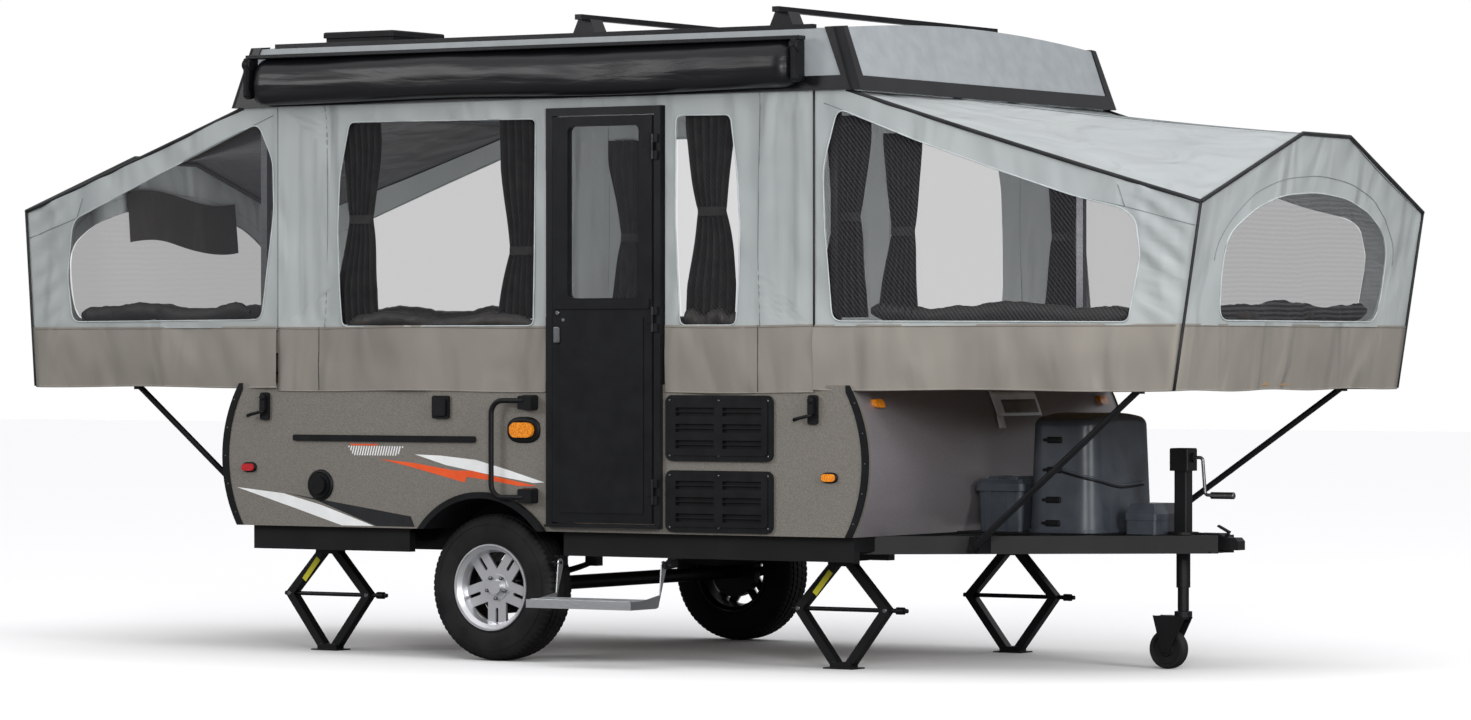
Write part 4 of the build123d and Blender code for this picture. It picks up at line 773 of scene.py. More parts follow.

    # the roof's underside takes the canvas drawn dark grey, a painted shade of the tent's inside
    roof = gridPiece("roofPanel", 64, 48, roofPlace, ["canvas", "shadedCanvasInside"])
    faceOutward(roof, (0, 0, 1))
    panels.append(lined(roof, 0.003))
    bandPiece, hem, bandSeam = makeTentBand(end, tent)
    canvas = mergePieces("tentCanvas_" + end, panels)
    film = mergePieces("tentScreens_" + end, films)
    seam = mergePieces("tentSeams_" + end, seams)
    edges = mergePieces("tentBinding_" + end, bindings)
    piping = mergePieces("tentPiping_" + end, cords)
    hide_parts("tent_bunk_" + end)
    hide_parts("screens_bunk_" + end)
    for piece in (canvas, film, seam, edges, piping, bandPiece, hem, bandSeam):
        foldsIn(piece)


def makeTentBand(end, tent):
    # the taupe band under the tent's walls, with its hem and the seam that joins it to them
    way, half = tent["way"], tent["half"]
    along, across = 34, 40

    def place(u, v):
        # round the bunk: one side, the end, the other side
        run = u * (2 * along + across)
        z = clothBottom + (trailer["bandTop"] + bandLap - clothBottom) * v
        far = endX(tent, z)
        if run <= along:
            x, out = tent["seam"] + (far - tent["seam"]) * run / along, Vector((0, -1, 0))
            y = -sideY(tent, x)
        elif run <= along + across:
            x, y, out = far, -half + 2 * half * (run - along) / across, Vector((way, 0, 0))
        else:
            x, out = far - (far - tent["seam"]) * (run - along - across) / along, Vector((0, 1, 0))
            y = sideY(tent, x)
        corner = min(abs(run - along), abs(run - along - across), 3) / 3
        slack = min(0.018, wobble(x + y, z, seed + 21, 0.013) + 0.006 * math.sin(math.pi * v))
        lift = 0.003 * math.sin((x + 1.7 * y) * 5.3) * (1 - v)
        return at(way * x, y, z + lift) + out * (0.0025 + slack * corner)

    seed = tent["seed"]
    band = gridPiece("tentBand_" + end, 2 * along + across, 10, place, "band")
    hem = tube("tentHem_" + end, [place(t, 0.0) for t in shares(120)], 0.004, "band", sides=6)
    seam = tube("tentBandSeam_" + end, [place(t, 0.97) for t in shares(120)], 0.0022, "bandSeam", sides=5)
    return band, hem, seam


for end in tents:
    makeTent(end)
print("bunk tents made")


# Canvas round the box

rearPane = [(-0.972, 1.39), (0.0, 1.39), (0.006, 1.8), (0.008, 2.242), (-0.935, 2.25), (-0.985, 2.02),
            (-0.995, 1.8), (-0.985, 1.55)]
frontPane = [(0.985, 1.39), (1.0, 1.55), (1.003, 1.8), (0.99, 2.0), (0.957, 2.237)]
boxCanvas = {
    "joins": (-1.065, 1.10), "bandJoins": (-1.095, 1.09), "ends": (-1.31, 1.352), "top": 2.3222,
    "low": 1.121, "doorway": (0.0625, 0.6475), "doorTop": 2.2835, "middle": 0.2,
    # the front window's near edge on each side
    "nearEdge": {-1: ((0.722, 1.39), (0.703, 2.24), (0.702, 1.8)),
                 1: ((0.435, 1.39), (0.43, 2.24), (0.43, 1.8))},
}


def boxPanels():
    # each panel of the side walls: its side, where it starts and stops, and its window
    start, stop = boxCanvas["ends"]
    for side in handed.values():
        behind, ahead = boxCanvas["doorway"] if side < 0 else (boxCanvas["middle"],) * 2
        first, *rest = boxCanvas["nearEdge"][side]
        yield side, start, behind, rearPane
        yield side, ahead, stop, [first] + frontPane + rest


def makeBoxCanvas():
    panels, films, seams, bindings = [], [], [], []
    band, top, low = trailer["bandTop"], boxCanvas["top"], boxCanvas["low"]
    ease, most = slackForm["boxEase"], slackForm["boxMost"]
    bound, sewn = slackForm["bindingOut"], slackForm["seamOut"]
    for side, x0, x1, corners in boxPanels():
        seed = 41.0 + 7 * side + x0

        def lift(x, z, side=side, seed=seed, x0=x0, x1=x1, out=0.0):
            inside = max(0.0, min(z - band, top - z, x - x0, x1 - x, ease)) / ease
            slack = wobble(x * 2.2, z * 0.6, seed, slackForm["depth"]) + 0.003 * math.sin((x - x0) * 41)
            # loose upright folds in the strips beside the box's corners
            if x < boxCanvas["joins"][0] or x > boxCanvas["joins"][1]:
                slack += 0.007 * math.sin(x * 74 + 0.8 * math.sin(z * 3 + seed))
            return at(x, side * (wallY - 0.002 + min(most, slack) * inside + out), z)

        def film(x, z, side=side):
            return at(x, side * (wallY - slackForm["meshInside"] + meshFold(x, z, 5.0 + side)), z)

        window = rounded(corners, 0.028)
        outer = [(x0, band), (x1, band), (x1, top), (x0, top)]
        panels.append(windowPanel("wallPanel", outer, window, lift, "canvas", fan=150))
        films.append(windowFilm("wallFilm", window, film, "mesh"))
        bindings.append(edging([lift(x, z, out=bound) for x, z in window]))
        for x in boxCanvas["joins"]:
            if x0 < x < x1:
                bow = math.copysign(0.012, -x)
                path = [lift(x + bow * math.sin(math.pi * t), band + (top - band) * t, out=sewn)
                        for t in shares(16)]
                seams.append(seamLine("wallSeam", path))

    def overDoor(u, v):
        left, right = boxCanvas["doorway"]
        under = boxCanvas["doorTop"]
        return at(left + (right - left) * u, -(wallY - 0.002), under + (top - under) * v)

    panels.append(gridPiece("overDoor", 16, 3, overDoor, "canvas"))
    bands, hems, lines = [], [], []
    (start, stop), (left, right) = boxCanvas["ends"], boxCanvas["doorway"]
    for side, x0, x1 in ((-1, start, left), (-1, right, stop), (1, start, stop)):
        def place(u, v, side=side, x0=x0, x1=x1):
            x = x0 + (x1 - x0) * u
            z = low + 0.003 * math.sin(x * 6.1 + side) + (band + bandLap - low) * v
            slack = min(0.016, wobble(x * 1.5, z, 63.0 + side, 0.012))
            return at(x, side * (wallY + 0.0015 + max(-0.003, slack)), z)

        bands.append(gridPiece("wallBand", int((x1 - x0) / 0.035), 10, place, "band"))
        hems.append(tube("hem", [place(t, 0.0) for t in shares(70)], 0.0035, "band", sides=6))
        lines.append(tube("bandLine", [place(t, 0.97) for t in shares(70)], 0.002, "bandSeam", sides=5))
        for x in boxCanvas["bandJoins"]:
            if x0 + 0.1 < x < x1:
                join = [place((x - x0) / (x1 - x0), t) for t in shares(8)]
                lines.append(cord("bandJoin", join, 0.0018, 5))
    canvas = mergePieces("boxCanvas", panels)
    film = mergePieces("boxScreens", films)
    mergePieces("boxSeams", seams + hems + lines)
    mergePieces("boxBinding", bindings)
    bandPiece = mergePieces("boxBand", bands)
    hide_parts("tent_walls")
    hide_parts("screens_walls")


makeBoxCanvas()
print("box canvas made")


# Curtains and rolled window covers

# each curtain: side, middle x, z top, z bottom, height of its tie, width, distance from the middle, tent
curtainRows = [
    (-1, -0.895, 2.245, 1.40, 1.84, 0.19, 1.048, None), (-1, -0.075, 2.245, 1.42, 1.70, 0.21, 1.048, None),
    (-1, 0.842, 2.24, 1.42, 1.85, 0.22, 1.048, None), (1, -0.90, 2.245, 1.40, 1.80, 0.26, 1.048, None),
    (1, -0.08, 2.245, 1.40, 1.78, 0.2, 1.048, None), (1, 0.52, 2.24, 1.40, 1.8, 0.14, 1.048, None),
    (-1, 1.455, 2.225, 1.42, 1.82, 0.20, 0.985, "front"),
    (-1, 1.70, 2.15, 1.42, 1.76, 0.165, 0.975, "front"),
    (1, 1.32, 2.22, 1.42, 1.78, 0.17, 1.03, "front"),
]


# how full the cloth is, how narrow it is at the tie and how far over and under it that reaches
curtainForm = {"pleats": 6, "full": 1.05, "narrow": 0.55, "over": 0.34, "under": 0.30, "spare": 1.02,
               "tieRows": (-0.018, -0.009, 0.0, 0.009, 0.018), "tieWide": 0.3, "tieDeep": 0.024}


def makeCurtain(number, side, middle, top, bottom, tie, width, out, end):
    tall, narrow = top - bottom, curtainForm["narrow"]

    def place(u, v):
        z = bottom + tall * v
        reach = curtainForm["over"] if z > tie else curtainForm["under"]
        gather = narrow + (1 - narrow) * min(1.0, (abs(z - tie) / reach) ** 0.8)
        across = (u - 0.5) * width * gather * curtainForm["full"]
        turn = fullTurn * curtainForm["pleats"] * u + 0.8 * math.sin(z * 9 + number)
        depth = (0.010 + 0.006 * gather) * math.sin(turn)
        drift = 0.02 * math.sin(z * 3.1 + number) * (1 - v)
        return at(middle + across + drift, side * (out + depth + 0.004 * math.sin(z * 17)), z)

    cloth = gridPiece(f"curtain_{number}", 72, 36, place, "curtain")
    centre = place(0.5, (tie - bottom) / tall)
    strap = []
    deep = curtainForm["tieDeep"]
    for dz in curtainForm["tieRows"]:
        wide = curtainForm["tieWide"] * width * (1 + 0.03 * math.cos(dz * 90))
        strap.append([(centre.x + wide * c, side * out + deep * s, centre.z + dz) for c, s in circle(20)])
    band = loft(f"curtainTie_{number}", strap, "curtainTie")
    if end:
        foldsIn(cloth)
        foldsIn(band)


for number, row in enumerate(curtainRows):
    makeCurtain(number, *row)


def rolledCover(name, start, stop, radius, end=None):
    # the window's cloth cover, rolled and lying loose along the sill
    (x0, y0, z0), (x1, y1, z1) = start, stop
    along = Vector((x1 - x0, y1 - y0, 0)).normalized()
    sideways = Vector((-along.y, along.x, 0))

    def place(u, v):
        turn = fullTurn * v
        broad = noise.noise(Vector((u * 9, v * 2.0, x0 * 3)))
        fine = noise.noise(Vector((u * 31, v * 5.0, 4)))
        fade = min(1.0, 14 * u + 0.35, 14 * (1 - u) + 0.35)
        size = radius * (1 + 0.35 * broad + 0.18 * fine) * fade
        rise = Vector((0, 0, math.sin(turn) * size * 1.25 + 0.012 * math.sin(u * 11 + x0)))
        middle = at(x0 + (x1 - x0) * u, y0 + (y1 - y0) * u, z0 + (z1 - z0) * u)
        return middle + sideways * math.cos(turn) * size * 0.8 + rise

    roll = gridPiece(name, 60, 16, place, "flap")
    if end:
        foldsIn(roll)


# each rolled cover beside a side window: start x and z, stop x and z, distance from the middle, radius, tent
sideCovers = {"rear": (-0.96, 1.41, -0.01, 1.40, 1.052, 0.026, None),
              "mid": (None, 1.405, 0.985, 1.41, 1.052, 0.03, None),
              "front": (1.55, 1.435, 2.70, 1.43, 0.965, 0.028, "front"),
              "back": (-2.47, 1.45, -1.55, 1.44, 0.965, 0.03, "rear")}
midStart = {-1: 0.72, 1: 0.44}
for near, side in handed.items():
    for place, (x0, z0, x1, z1, out, radius, end) in sideCovers.items():
        x0 = midStart[side] if x0 is None else x0
        rolledCover(f"cover_{place}_{near}", (x0, side * out, z0), (x1, side * out, z1), radius, end)


def hangingCover():
    # the tail window's cover, half rolled up and hanging from its tapes
    tent = tents["rear"]
    low, high, right, left = 1.76, 1.985, -0.34, 0.447

    def place(u, v):
        y, z = right + (left - right) * u, low + 0.03 * math.sin(u * 5.0 + 0.6) + (high - low) * v
        x = endX(tent, z) - 0.045 - 0.012 * math.sin(u * 9.0) * (1 - v)
        return at(-x, y, min(z, bowHeight(tent, y) - 0.03))

    cloth = gridPiece("hangingCover", 30, 12, place, "flap")
    foldsIn(cloth)


hangingCover()
rolledCover("cover_nose", (2.93, -0.68, 1.44), (2.93, 0.68, 1.44), 0.028, "front")
rolledCover("cover_tail", (-2.69, -0.68, 1.455), (-2.69, 0.68, 1.455), 0.028, "rear")
print("curtains and covers made")


# Mattresses: crowned foam in ticking, with a piped edge top and bottom

mattress = {
    # each end: its first and last x, and the seed of its dips
    "ends": {"front": (1.432, 2.863, 5), "rear": (-2.645, -1.432, 9)},
    "half": 0.925, "low": 1.1872, "thick": 1.281 - 1.1872, "square": 0.16, "count": 120,
    # reach from the middle and height, each as a share
    "profile": [(0.02, 0.0), (0.5, 0.0), (0.97, 0.0), (0.99, 0.04), (0.985, 0.3), (0.985, 0.7),
                (0.992, 0.94), (0.975, 0.985), (0.9, 0.995), (0.75, 1.0), (0.5, 1.0), (0.25, 1.0),
                (0.02, 1.0)]}


def makeMattress(end):
    x0, x1, seed = mattress["ends"][end]
    body = end + "_bunk"
    middle, halfX, halfY = (x0 + x1) / 2, (x1 - x0) / 2, mattress["half"]
    power = mattress["square"]
    outline = [(math.copysign(abs(c) ** power, c), math.copysign(abs(s) ** power, s))
               for c, s in circle(mattress["count"])]
    rings = []
    for reach, height in mattress["profile"]:
        ring = []
        for cx, cy in outline:
            x, y = middle + cx * halfX * reach, cy * halfY * reach
            z = mattress["low"] + mattress["thick"] * height
            if height > 0.9:
                z += 0.006 * noise.noise(Vector((x * 2.4, y * 2.4, seed))) - 0.006
            if height > 0.95:
                z -= 0.010 * (1 - min(1.0, (1 - reach) / 0.1))
            ring.append(at(x, y, z))
        rings.append(ring)
    foam = loft("mattressPad_" + end, rings, "ticking", body, caps=True)
    for height in (0.06, 0.93):
        z = mattress["low"] + mattress["thick"] * height
        ring = [at(middle + cx * halfX * 0.992, cy * halfY * 0.992, z) for cx, cy in outline]
        tube(f"mattressPiping_{end}_{int(height * 100)}", ring, 0.004, "piping", body, sides=6, closed=True)
    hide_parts("mattress_" + end)


for end in mattress["ends"]:
    makeMattress(end)
print("mattresses made")


# Awning in its vinyl bag

awning = {"x": (-1.393, 1.291), "back": 1.1008, "middle": 2.43,
          "section": [(0.0, 2.332), (0.05, 2.334), (0.084, 2.356), (0.091, 2.41), (0.082, 2.462),
                      (0.058, 2.502), (0.024, 2.528), (0.0, 2.53)]}


def knob(name, x, y, z, long, radius, lip, edge):
    # a black round boss whose ends are eased
    profile = [(0, radius), (edge, radius + lip), (long - edge, radius + lip), (long, radius)]
    return turned(name, at(x, y, z), (1, 0, 0), profile, "blackPlastic")


def makeAwning():
    x0, x1 = awning["x"]
    section = rounded(awning["section"], 0.03, 4)
    count, middle = len(section), awning["middle"]

    def place(u, v):
        k = v * count
        a, b = section[int(k) % count], section[(int(k) + 1) % count]
        d = a[0] + (b[0] - a[0]) * (k % 1)
        z = a[1] + (b[1] - a[1]) * (k % 1)
        x = x0 + (x1 - x0) * u
        # the bag's ends are drawn shut
        shut = min(1.0, ((u * (x1 - x0)) / 0.05) ** 0.5, (((1 - u) * (x1 - x0)) / 0.05) ** 0.5)
        soft = min(1.0, d / 0.03)
        crease = 0.004 * noise.noise(Vector((x * 1.3, z * 26, 3)))
        crease += 0.005 * noise.noise(Vector((x * 4.5, z * 9, 8)))
        out = awning["back"] + d * (0.45 + 0.55 * shut) + crease * soft
        return at(x, -out, middle + (z - middle) * (0.75 + 0.25 * shut) - 0.006 * math.sin(x * 3.7) * soft)

    bag = gridPiece("awningBag", 180, count, place, "awningVinyl")
    build = bmesh.new()
    build.from_mesh(bag.data)
    bmesh.ops.remove_doubles(build, verts=build.verts, dist=0.0002)
    bmesh.ops.holes_fill(build, edges=[edge for edge in build.edges if edge.is_boundary])
    bmesh.ops.recalc_face_normals(build, faces=build.faces)
    build.to_mesh(bag.data)
    build.free()
    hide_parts("awning_bag")
    parts = [bar("awningRail", at(x0 - 0.03, -1.165, 2.5245), at(x1 + 0.04, -1.108, 2.541), "blackAlloy")]
    for x in (x0 - 0.02, x1 + 0.02):
        low, high = at(x - 0.014, -1.18, 2.36), at(x + 0.014, -1.1, 2.53)
        parts.append(bar("awningArm", low, high, "blackPlastic", edge=0.01))
        parts.append(knob("awningPivot", x - 0.02, -1.155, 2.50, 0.04, 0.022, 0.004, 0.006))
        parts.append(knob("awningFoot", x - 0.016, -1.15, 2.375, 0.032, 0.018, 0.002, 0.004))
    mergePieces("awningFittings", parts)


makeAwning()
print("awning made")


# Tyres with tread

tyreForm = {
    "track": 0.9375, "axle": (-2.919, -0.195), "steps": 288, "lean": 0.012 / 0.09,
    # half of the outline, radius and distance across, then the ribs' tops
    "profile": [(0.1655, -0.067), (0.179, -0.083), (0.19, -0.0895), (0.212, -0.0935), (0.232, -0.0945),
                (0.252, -0.0925), (0.268, -0.0895), (0.281, -0.0855), (0.291, -0.0795), (0.2975, -0.0735),
                (0.301, -0.067)],
    "ribs": [(0.302, -0.0600), (0.3025, -0.0540), (0.2965, -0.0535), (0.2965, -0.0465), (0.304, -0.046),
             (0.3045, -0.031), (0.3045, -0.0225), (0.2975, -0.022), (0.2975, -0.015), (0.305, -0.0145),
             (0.305, -0.006), (0.305, 0.0)],
    # the moulded rings on the outer side
    "rings": ((0.186, 0.0885), (0.262, 0.0915)), "nuts": 5, "nutCircle": 0.046}


def treadDepth(step, radius, wide):
    # cuts across the shoulders, the second ribs, the shoulders' sides and the middle rib, in turn
    if radius > 0.3 and wide > 0.046 and step % 4 == 0:
        return 0.0055
    if radius > 0.3 and 0.022 < wide < 0.046 and step % 4 == 2:
        return 0.004
    if 0.28 < radius <= 0.3015 and wide > 0.06 and step % 4 == 0:
        return 0.0035
    if radius > 0.3 and wide < 0.015 and step % 8 == 4:
        return 0.003
    return 0.0


def makeTyre(side, name, body):
    outline = tyreForm["profile"] + tyreForm["ribs"]
    outline += [(radius, -across) for radius, across in outline[-2::-1]]
    ax, az = tyreForm["axle"]
    track, steps = tyreForm["track"], tyreForm["steps"]
    rings = []
    for k in range(steps):
        ring = []
        for radius, across in outline:
            turn = fullTurn * k / steps + tyreForm["lean"] * across
            r = radius - treadDepth(k, radius, abs(across))
            ring.append((ax + r * math.cos(turn), side * track + across, az + r * math.sin(turn)))
        rings.append(ring)
    parts = [loft("treadedTyre_" + name, rings, "tyre", body, wrap=False, loop=True, smooth=False)]
    for radius, across in tyreForm["rings"]:
        ring = [(ax + radius * c, side * (track + across), az + radius * s) for c, s in circle(96)]
        parts.append(tube("ring", ring, 0.0018, "tyre", body, sides=5, closed=True))
    joined = mergePieces("treadedTyre_" + name, parts)
    joined.data.polygons.foreach_set("use_smooth", [True] * len(joined.data.polygons))
    joined.data.set_sharp_from_angle(angle=math.radians(32))
    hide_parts("tyre_" + name)


def makeWheelDetail(side, name, body):
    # five wheel nuts and the valve
    ax, az = tyreForm["axle"]
    face = side * (tyreForm["track"] + 0.043)
    nut = [(0, 0.0085), (0.012, 0.0085), (0.016, 0.006), (0.018, 0.002)]
    stem = [(0, 0.004), (0.022, 0.004), (0.024, 0.005), (0.034, 0.005), (0.036, 0.003)]
    reach, count = tyreForm["nutCircle"], tyreForm["nuts"]
    parts = []
    for k in range(count):
        turn = math.radians(90) + fullTurn * (k + 0.5) / count
        place = (ax + reach * math.cos(turn), face, az + reach * math.sin(turn))
        parts.append(turned("wheelNut", place, (0, side, 0), nut, "zincSteel", body, 6))
    place = (ax + 0.128, side * (tyreForm["track"] + 0.05), az + 0.03)
    parts.append(turned("valve", place, (0, side, 0), stem, "tyre", body, 10))
    mergePieces("wheelNuts_" + name, parts)


for near, side in handed.items():
    makeTyre(side, near, near + "_wheel")
    makeWheelDetail(side, near, near + "_wheel")
print("tyres made")


# Stripes on the side walls

decals = {
    "lowerWhite": ("whiteVinyl", [(-1.532, 0.706), (-1.284, 0.683), (-1.087, 0.637), (-0.81, 0.552),
                                  (-0.977, 0.552), (-1.218, 0.62)]),
    "lowerBlack": ("blackVinyl", [(-1.278, 0.686), (-0.62, 0.5955), (-0.60, 0.552), (-0.797, 0.552),
                                  (-0.982, 0.613), (-1.113, 0.657)]),
    "orangeSlash": ("orangeVinyl", [(-0.78, 0.834), (-0.607, 0.819), (-0.396, 0.79), (-0.307, 0.79),
                                    (-0.206, 0.77), (0.02, 0.7305), (-0.075, 0.73), (-0.213, 0.751),
                                    (-0.334, 0.764), (-0.345, 0.741), (-0.466, 0.768), (-0.632, 0.805)]),
    "upperWhite": ("whiteVinyl", [(-0.6, 0.855), (-0.466, 0.851), (-0.288, 0.835), (-0.125, 0.795),
                                  (0.055, 0.746), (0.0, 0.743), (-0.238, 0.778), (-0.441, 0.812)]),
    "orangeBar": ("orangeVinyl", [(-0.936, 0.8965), (-0.784, 0.8965), (-0.8, 0.8895), (-0.93, 0.8895)])}
checks = {"size": 0.0066, "rows": 6, "columns": 44, "corner": (-0.943, 0.888), "slant": 0.0052 * 0.9,
          "end": -0.655, "endSlant": 0.0062}


def makeDecals(near, side):
    wall = trailer["sideWall"] + 0.0003
    parts = []
    for name, (finish, outline) in decals.items():
        # the same outline is run the other way round on the left side, so that it faces out
        order = tuple(range(len(outline)))[::-side]
        points = [at(x, side * wall, z) for x, z in outline]
        parts.append(newPiece(name, points, [order], finish, smooth=False))
    # a bar of small checks, its ends cut on a slant
    points, faces = [], []
    size, (startX, startZ) = checks["size"], checks["corner"]
    for row in range(checks["rows"]):
        for column in range(row % 2, checks["columns"], 2):
            x, z = startX + column * size + checks["slant"] * row, startZ - row * size
            if x + size > checks["end"] - checks["endSlant"] * row:
                continue
            faces.append(tuple(range(len(points), len(points) + 4))[::side])
            square = ((x, z), (x + size, z), (x + size, z - size), (x, z - size))
            points += [at(a, side * wall, b) for a, b in square]
    parts.append(newPiece("checks", points, faces, "whiteVinyl", smooth=False))
    mergePieces("stripes_" + near, parts)


for near, side in handed.items():
    makeDecals(near, side)
print("stripes made")


# Bezels, latch levers, screws, labels, and the cover's latches and groove

fittings = {
    # each bezel: x, z, width and height of what it frames, how wide it is, how square, on which sides
    "bezels": [(-0.047, 0.961, 0.116, 0.062, 0.024, 0.75, (-1, 1)),
               (1.426, 0.782, 0.062, 0.030, 0.007, 0.75, (-1, 1)),
               (-1.464, 0.792, 0.062, 0.030, 0.007, 0.75, (-1, 1)),
               (-1.087, 0.721, 0.104, 0.104, 0.014, 1.0, (-1,))],
    # each vent: x, z, width, height and how far it stands out
    "vents": [(0.910, 0.975, 0.510, 0.266, 0.012), (0.910, 0.679, 0.510, 0.250, 0.012)],
    "latches": (-1.377, 1.352), "trimScrews": (0.60, 0.72, 0.84, 0.96, 1.08), "doorFace": -1.106,
    "jacks": ((1.262, -0.70), (-1.318, -0.70)), "elbow": (0.205, 0.24), "jackTop": 0.427}
frontWall = {"radius": 0.5867, "centre": (1.0163, 0.8475)}
gasCover = {"x": 2.02, "length": 0.33, "width": 0.56, "corner": 0.092, "low": 0.551,
            "lean": math.tan(math.radians(2.4)), "latches": (0.926, 0.805, 0.684, 0.590)}


def frontX(z):
    # the curved front wall, seen from the side
    return frontWall["centre"][0] + math.sqrt(frontWall["radius"] ** 2 - (z - frontWall["centre"][1]) ** 2)


def makeBezel(side, x, z, width, height, edge, square):
    # an oval dish that rises from the wall to the lamp's edge
    rise = [(edge, -0.001), (edge * 0.9, 0.006), (edge * 0.45, 0.010), (0.0, 0.011), (-0.001, 0.0)]
    oval = [(math.copysign(abs(c) ** square, c), math.copysign(abs(s) ** square, s)) for c, s in circle(48)]
    rings = [[at(x + c * (width / 2 + out), side * (trailer["sideWall"] + proud), z + s * (height / 2 + out))
              for c, s in oval] for out, proud in rise]
    return loft("lampBezel", rings, "blackPlastic")


def makeFittings():
    wall = trailer["sideWall"]
    parts = []
    for side in handed.values():
        parts += [makeBezel(side, *row) for *row, where in fittings["bezels"] if side in where]
    screw = [(0, 0.0045), (0.0015, 0.004), (0.002, 0.002)]
    for x, z, width, height, depth in fittings["vents"]:
        for dx in (-0.46, 0.0, 0.46):
            for dz in (-0.42, 0.42):
                place = at(x + width * dx, -(wall + depth), z + height * dz)
                parts.append(turned("screw", place, (0, -1, 0), screw, "zincSteel", steps=12))
    # a bent grip beside each latch and its pin
    grip = ((-0.075, 0.03, 1.012), (-0.05, 0.038, 1.018), (-0.015, 0.034, 1.026), (0.006, 0.026, 1.03))
    for x in fittings["latches"]:
        path = [at(x + dx, -(wall + out), z) for dx, out, z in grip]
        parts.append(tube("latchLever", path, lambda share: 0.008 - 0.002 * share, "blackPlastic"))
        pin = [(0, 0.013), (0.018, 0.013), (0.022, 0.009)]
        parts.append(turned("latchPin", at(x, -(wall + 0.014), 1.09), (0, -1, 0), pin, "blackPlastic"))
    # screws of the corner trims
    screw = [(0, 0.0035), (0.0015, 0.003)]
    for side in handed.values():
        for end in (-1, 1):
            for z in fittings["trimScrews"]:
                place = at(end * (frontX(z) - 0.012), side * (wall + 0.004), z)
                parts.append(turned("trimScrew", place, (0, side, 0), screw, "zincSteel", steps=10))
    mergePieces("wallFittings", parts)


def makeDoorLock():
    # two silver lock cylinders over a dark pull, on the door's leaf
    face, parts = fittings["doorFace"], []
    for x, z, radius in ((0.138, 1.442, 0.010), (0.166, 1.413, 0.008)):
        profile = [(0, radius), (0.004, radius), (0.006, radius * 0.6)]
        place = at(x, face, z)
        parts.append(turned("lockCylinder", place, (0, -1, 0), profile, "zincSteel", "entrance_door"))
    low, high = at(0.122, face - 0.014, 1.318), at(0.152, face + 0.001, 1.386)
    parts.append(bar("doorPull", low, high, "zincSteel", "entrance_door", 0.006))
    mergePieces("doorLock", parts)


def makePlate():
    # the blank silver plate on the front wall, with a strap down its near side and a pale panel on it; plate
    # and strap are white vinyl, partly the silver's own pale tone and partly painted reflection
    def bent(name, columns, rows, low, high, proud, finish, thick):
        def place(u, v):
            z = low[1] + (high[1] - low[1]) * v
            return at(frontX(z) + proud, low[0] + (high[0] - low[0]) * u, z)

        sheet = thicken(gridPiece(name, columns, rows, place, finish), thick)
        return applyModifiers(faceOutward(sheet, (1, 0, 0)))

    mergePieces("blankPlate", [
        # painted reflection: white vinyl stands in for the silver and the light it reflects
        bent("plateFace", 8, 6, (0.0, 1.018), (0.382, 1.122), 0.0035, "whiteVinyl", 0.002),
        bent("plateStrap", 2, 6, (-0.004, 0.968), (0.052, 1.02), 0.0035, "whiteVinyl", 0.002),
        bent("platePanel", 6, 4, (0.07, 1.03), (0.36, 1.085), 0.0043, "ticking", 0.0005)])


def coverPoint(share, z):
    # a point on the bottle cover: share 0 at the near side's middle, 1 at the far front corner
    lean = (z - gasCover["low"]) * gasCover["lean"]
    halfX, halfY = gasCover["length"] / 2 - lean, gasCover["width"] / 2 - lean
    corner = gasCover["corner"] - lean
    flat, arc, edge = halfX - corner, corner * math.pi / 2, halfY - corner
    place = share * (flat + arc + 2 * edge)
    if place <= flat:
        return at(gasCover["x"] + place, -halfY, z)
    if place <= flat + arc:
        turn = (place - flat) / corner
        return at(gasCover["x"] + flat + corner * math.sin(turn), -edge - corner * math.cos(turn), z)
    return at(gasCover["x"] + halfX, -edge + place - flat - arc, z)


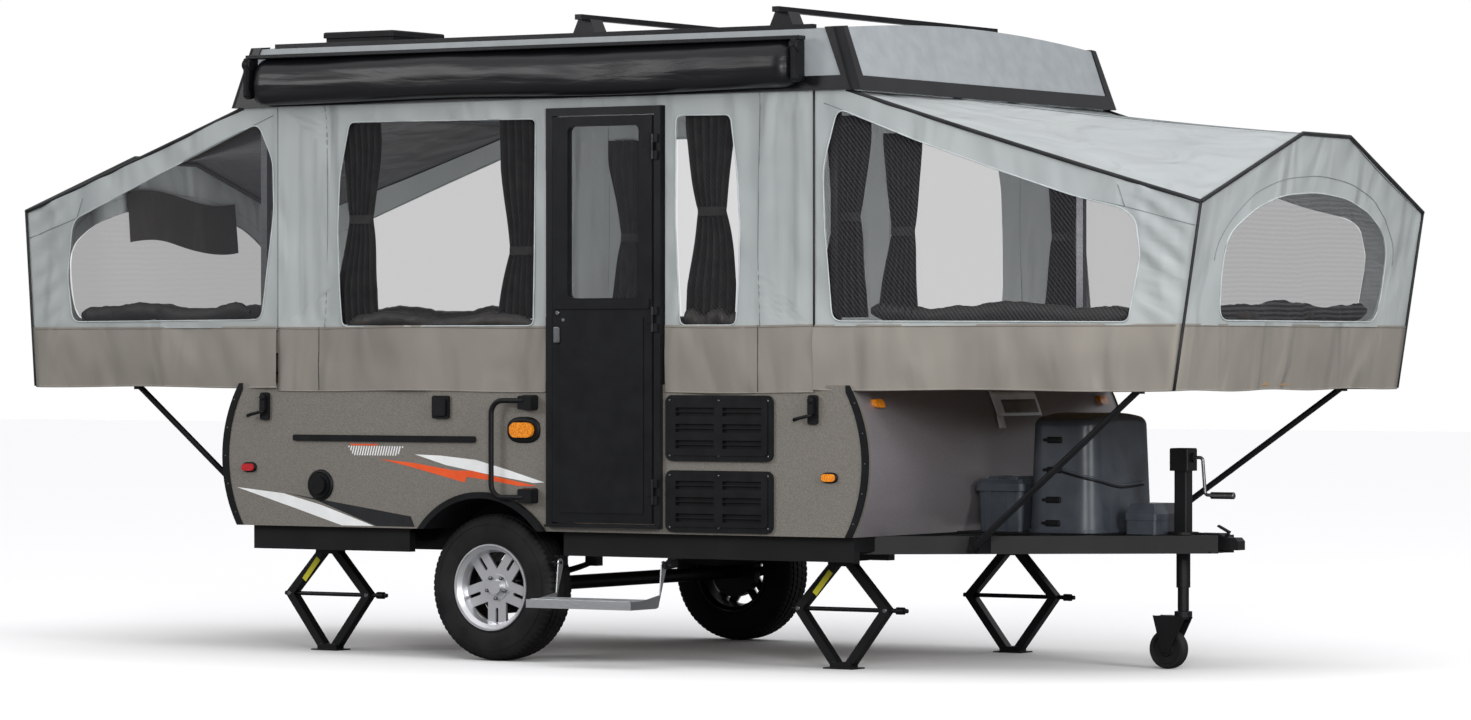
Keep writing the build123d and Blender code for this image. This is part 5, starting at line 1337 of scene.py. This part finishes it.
def makeCoverTrim():
    # each latch and its tongue: name, low and high corner from the latch's middle, edge
    latch = [("coverLatch", (-0.034, -0.008, -0.013), (0.034, 0.004, 0.013), 0.0055),
             ("coverLatchTongue", (-0.052, -0.006, -0.006), (-0.03, 0.003, 0.006), 0.003)]
    parts = []
    for z in gasCover["latches"]:
        middle = coverPoint(0.0, z) + Vector((-0.024, 0, 0))
        parts += [bar(name, middle + Vector(low), middle + Vector(high), "blackPlastic", edge=edge)
                  for name, low, high, edge in latch]
    groove = []
    for t in shares(60):
        share = 0.02 + 0.93 * t
        dip = math.sin(math.pi * min(1.0, share / 0.75) * 0.5)
        groove.append(coverPoint(share, 0.80 - 0.072 * dip + 0.03 * max(0.0, share - 0.6)))
    parts.append(tube("coverGroove", groove, 0.0042, "blackPlastic", sides=8))
    ridge = [point + Vector((0, 0, 0.011)) for point in groove]
    parts.append(tube("coverRidge", ridge, 0.0055, "slate", sides=8))
    mergePieces("coverTrim", parts)


def makeJackLabels():
    # the arms' pins, and a blank yellow label on the upper arm nearest the eye
    parts = []
    (reach, height), top = fittings["elbow"], fittings["jackTop"]
    pin = [(0, 0.008), (0.002, 0.010), (0.049, 0.010), (0.051, 0.008)]
    for x, y in fittings["jacks"]:
        for end in (-1, 1):
            for across, up in ((reach, height), (0.034, 0.018), (0.034, top)):
                place = at(x + end * across, y - 0.0255, up)
                parts.append(turned("jackPin", place, (0, 1, 0), pin, "zincSteel"))
        low, high = Vector((x + 0.03 - reach, 0, height)), Vector((x - 0.02, 0, top))
        along = (high - low).normalized()
        side = Vector((-along.z, 0, along.x)) * 0.012
        a, b = low.lerp(high, 0.32), low.lerp(high, 0.82)
        corners = [at(p.x, y - 0.0226, p.z) for p in (a - side, b - side, b + side, a + side)]
        label = newPiece("jackLabel", corners, [(0, 1, 2, 3)], "yellowVinyl", smooth=False)
        parts.append(faceOutward(label, (0, -1, 0)))
    mergePieces("jackFittings", parts)


makeFittings()
makeDoorLock()
makePlate()
makeCoverTrim()
makeJackLabels()
print("fittings made")
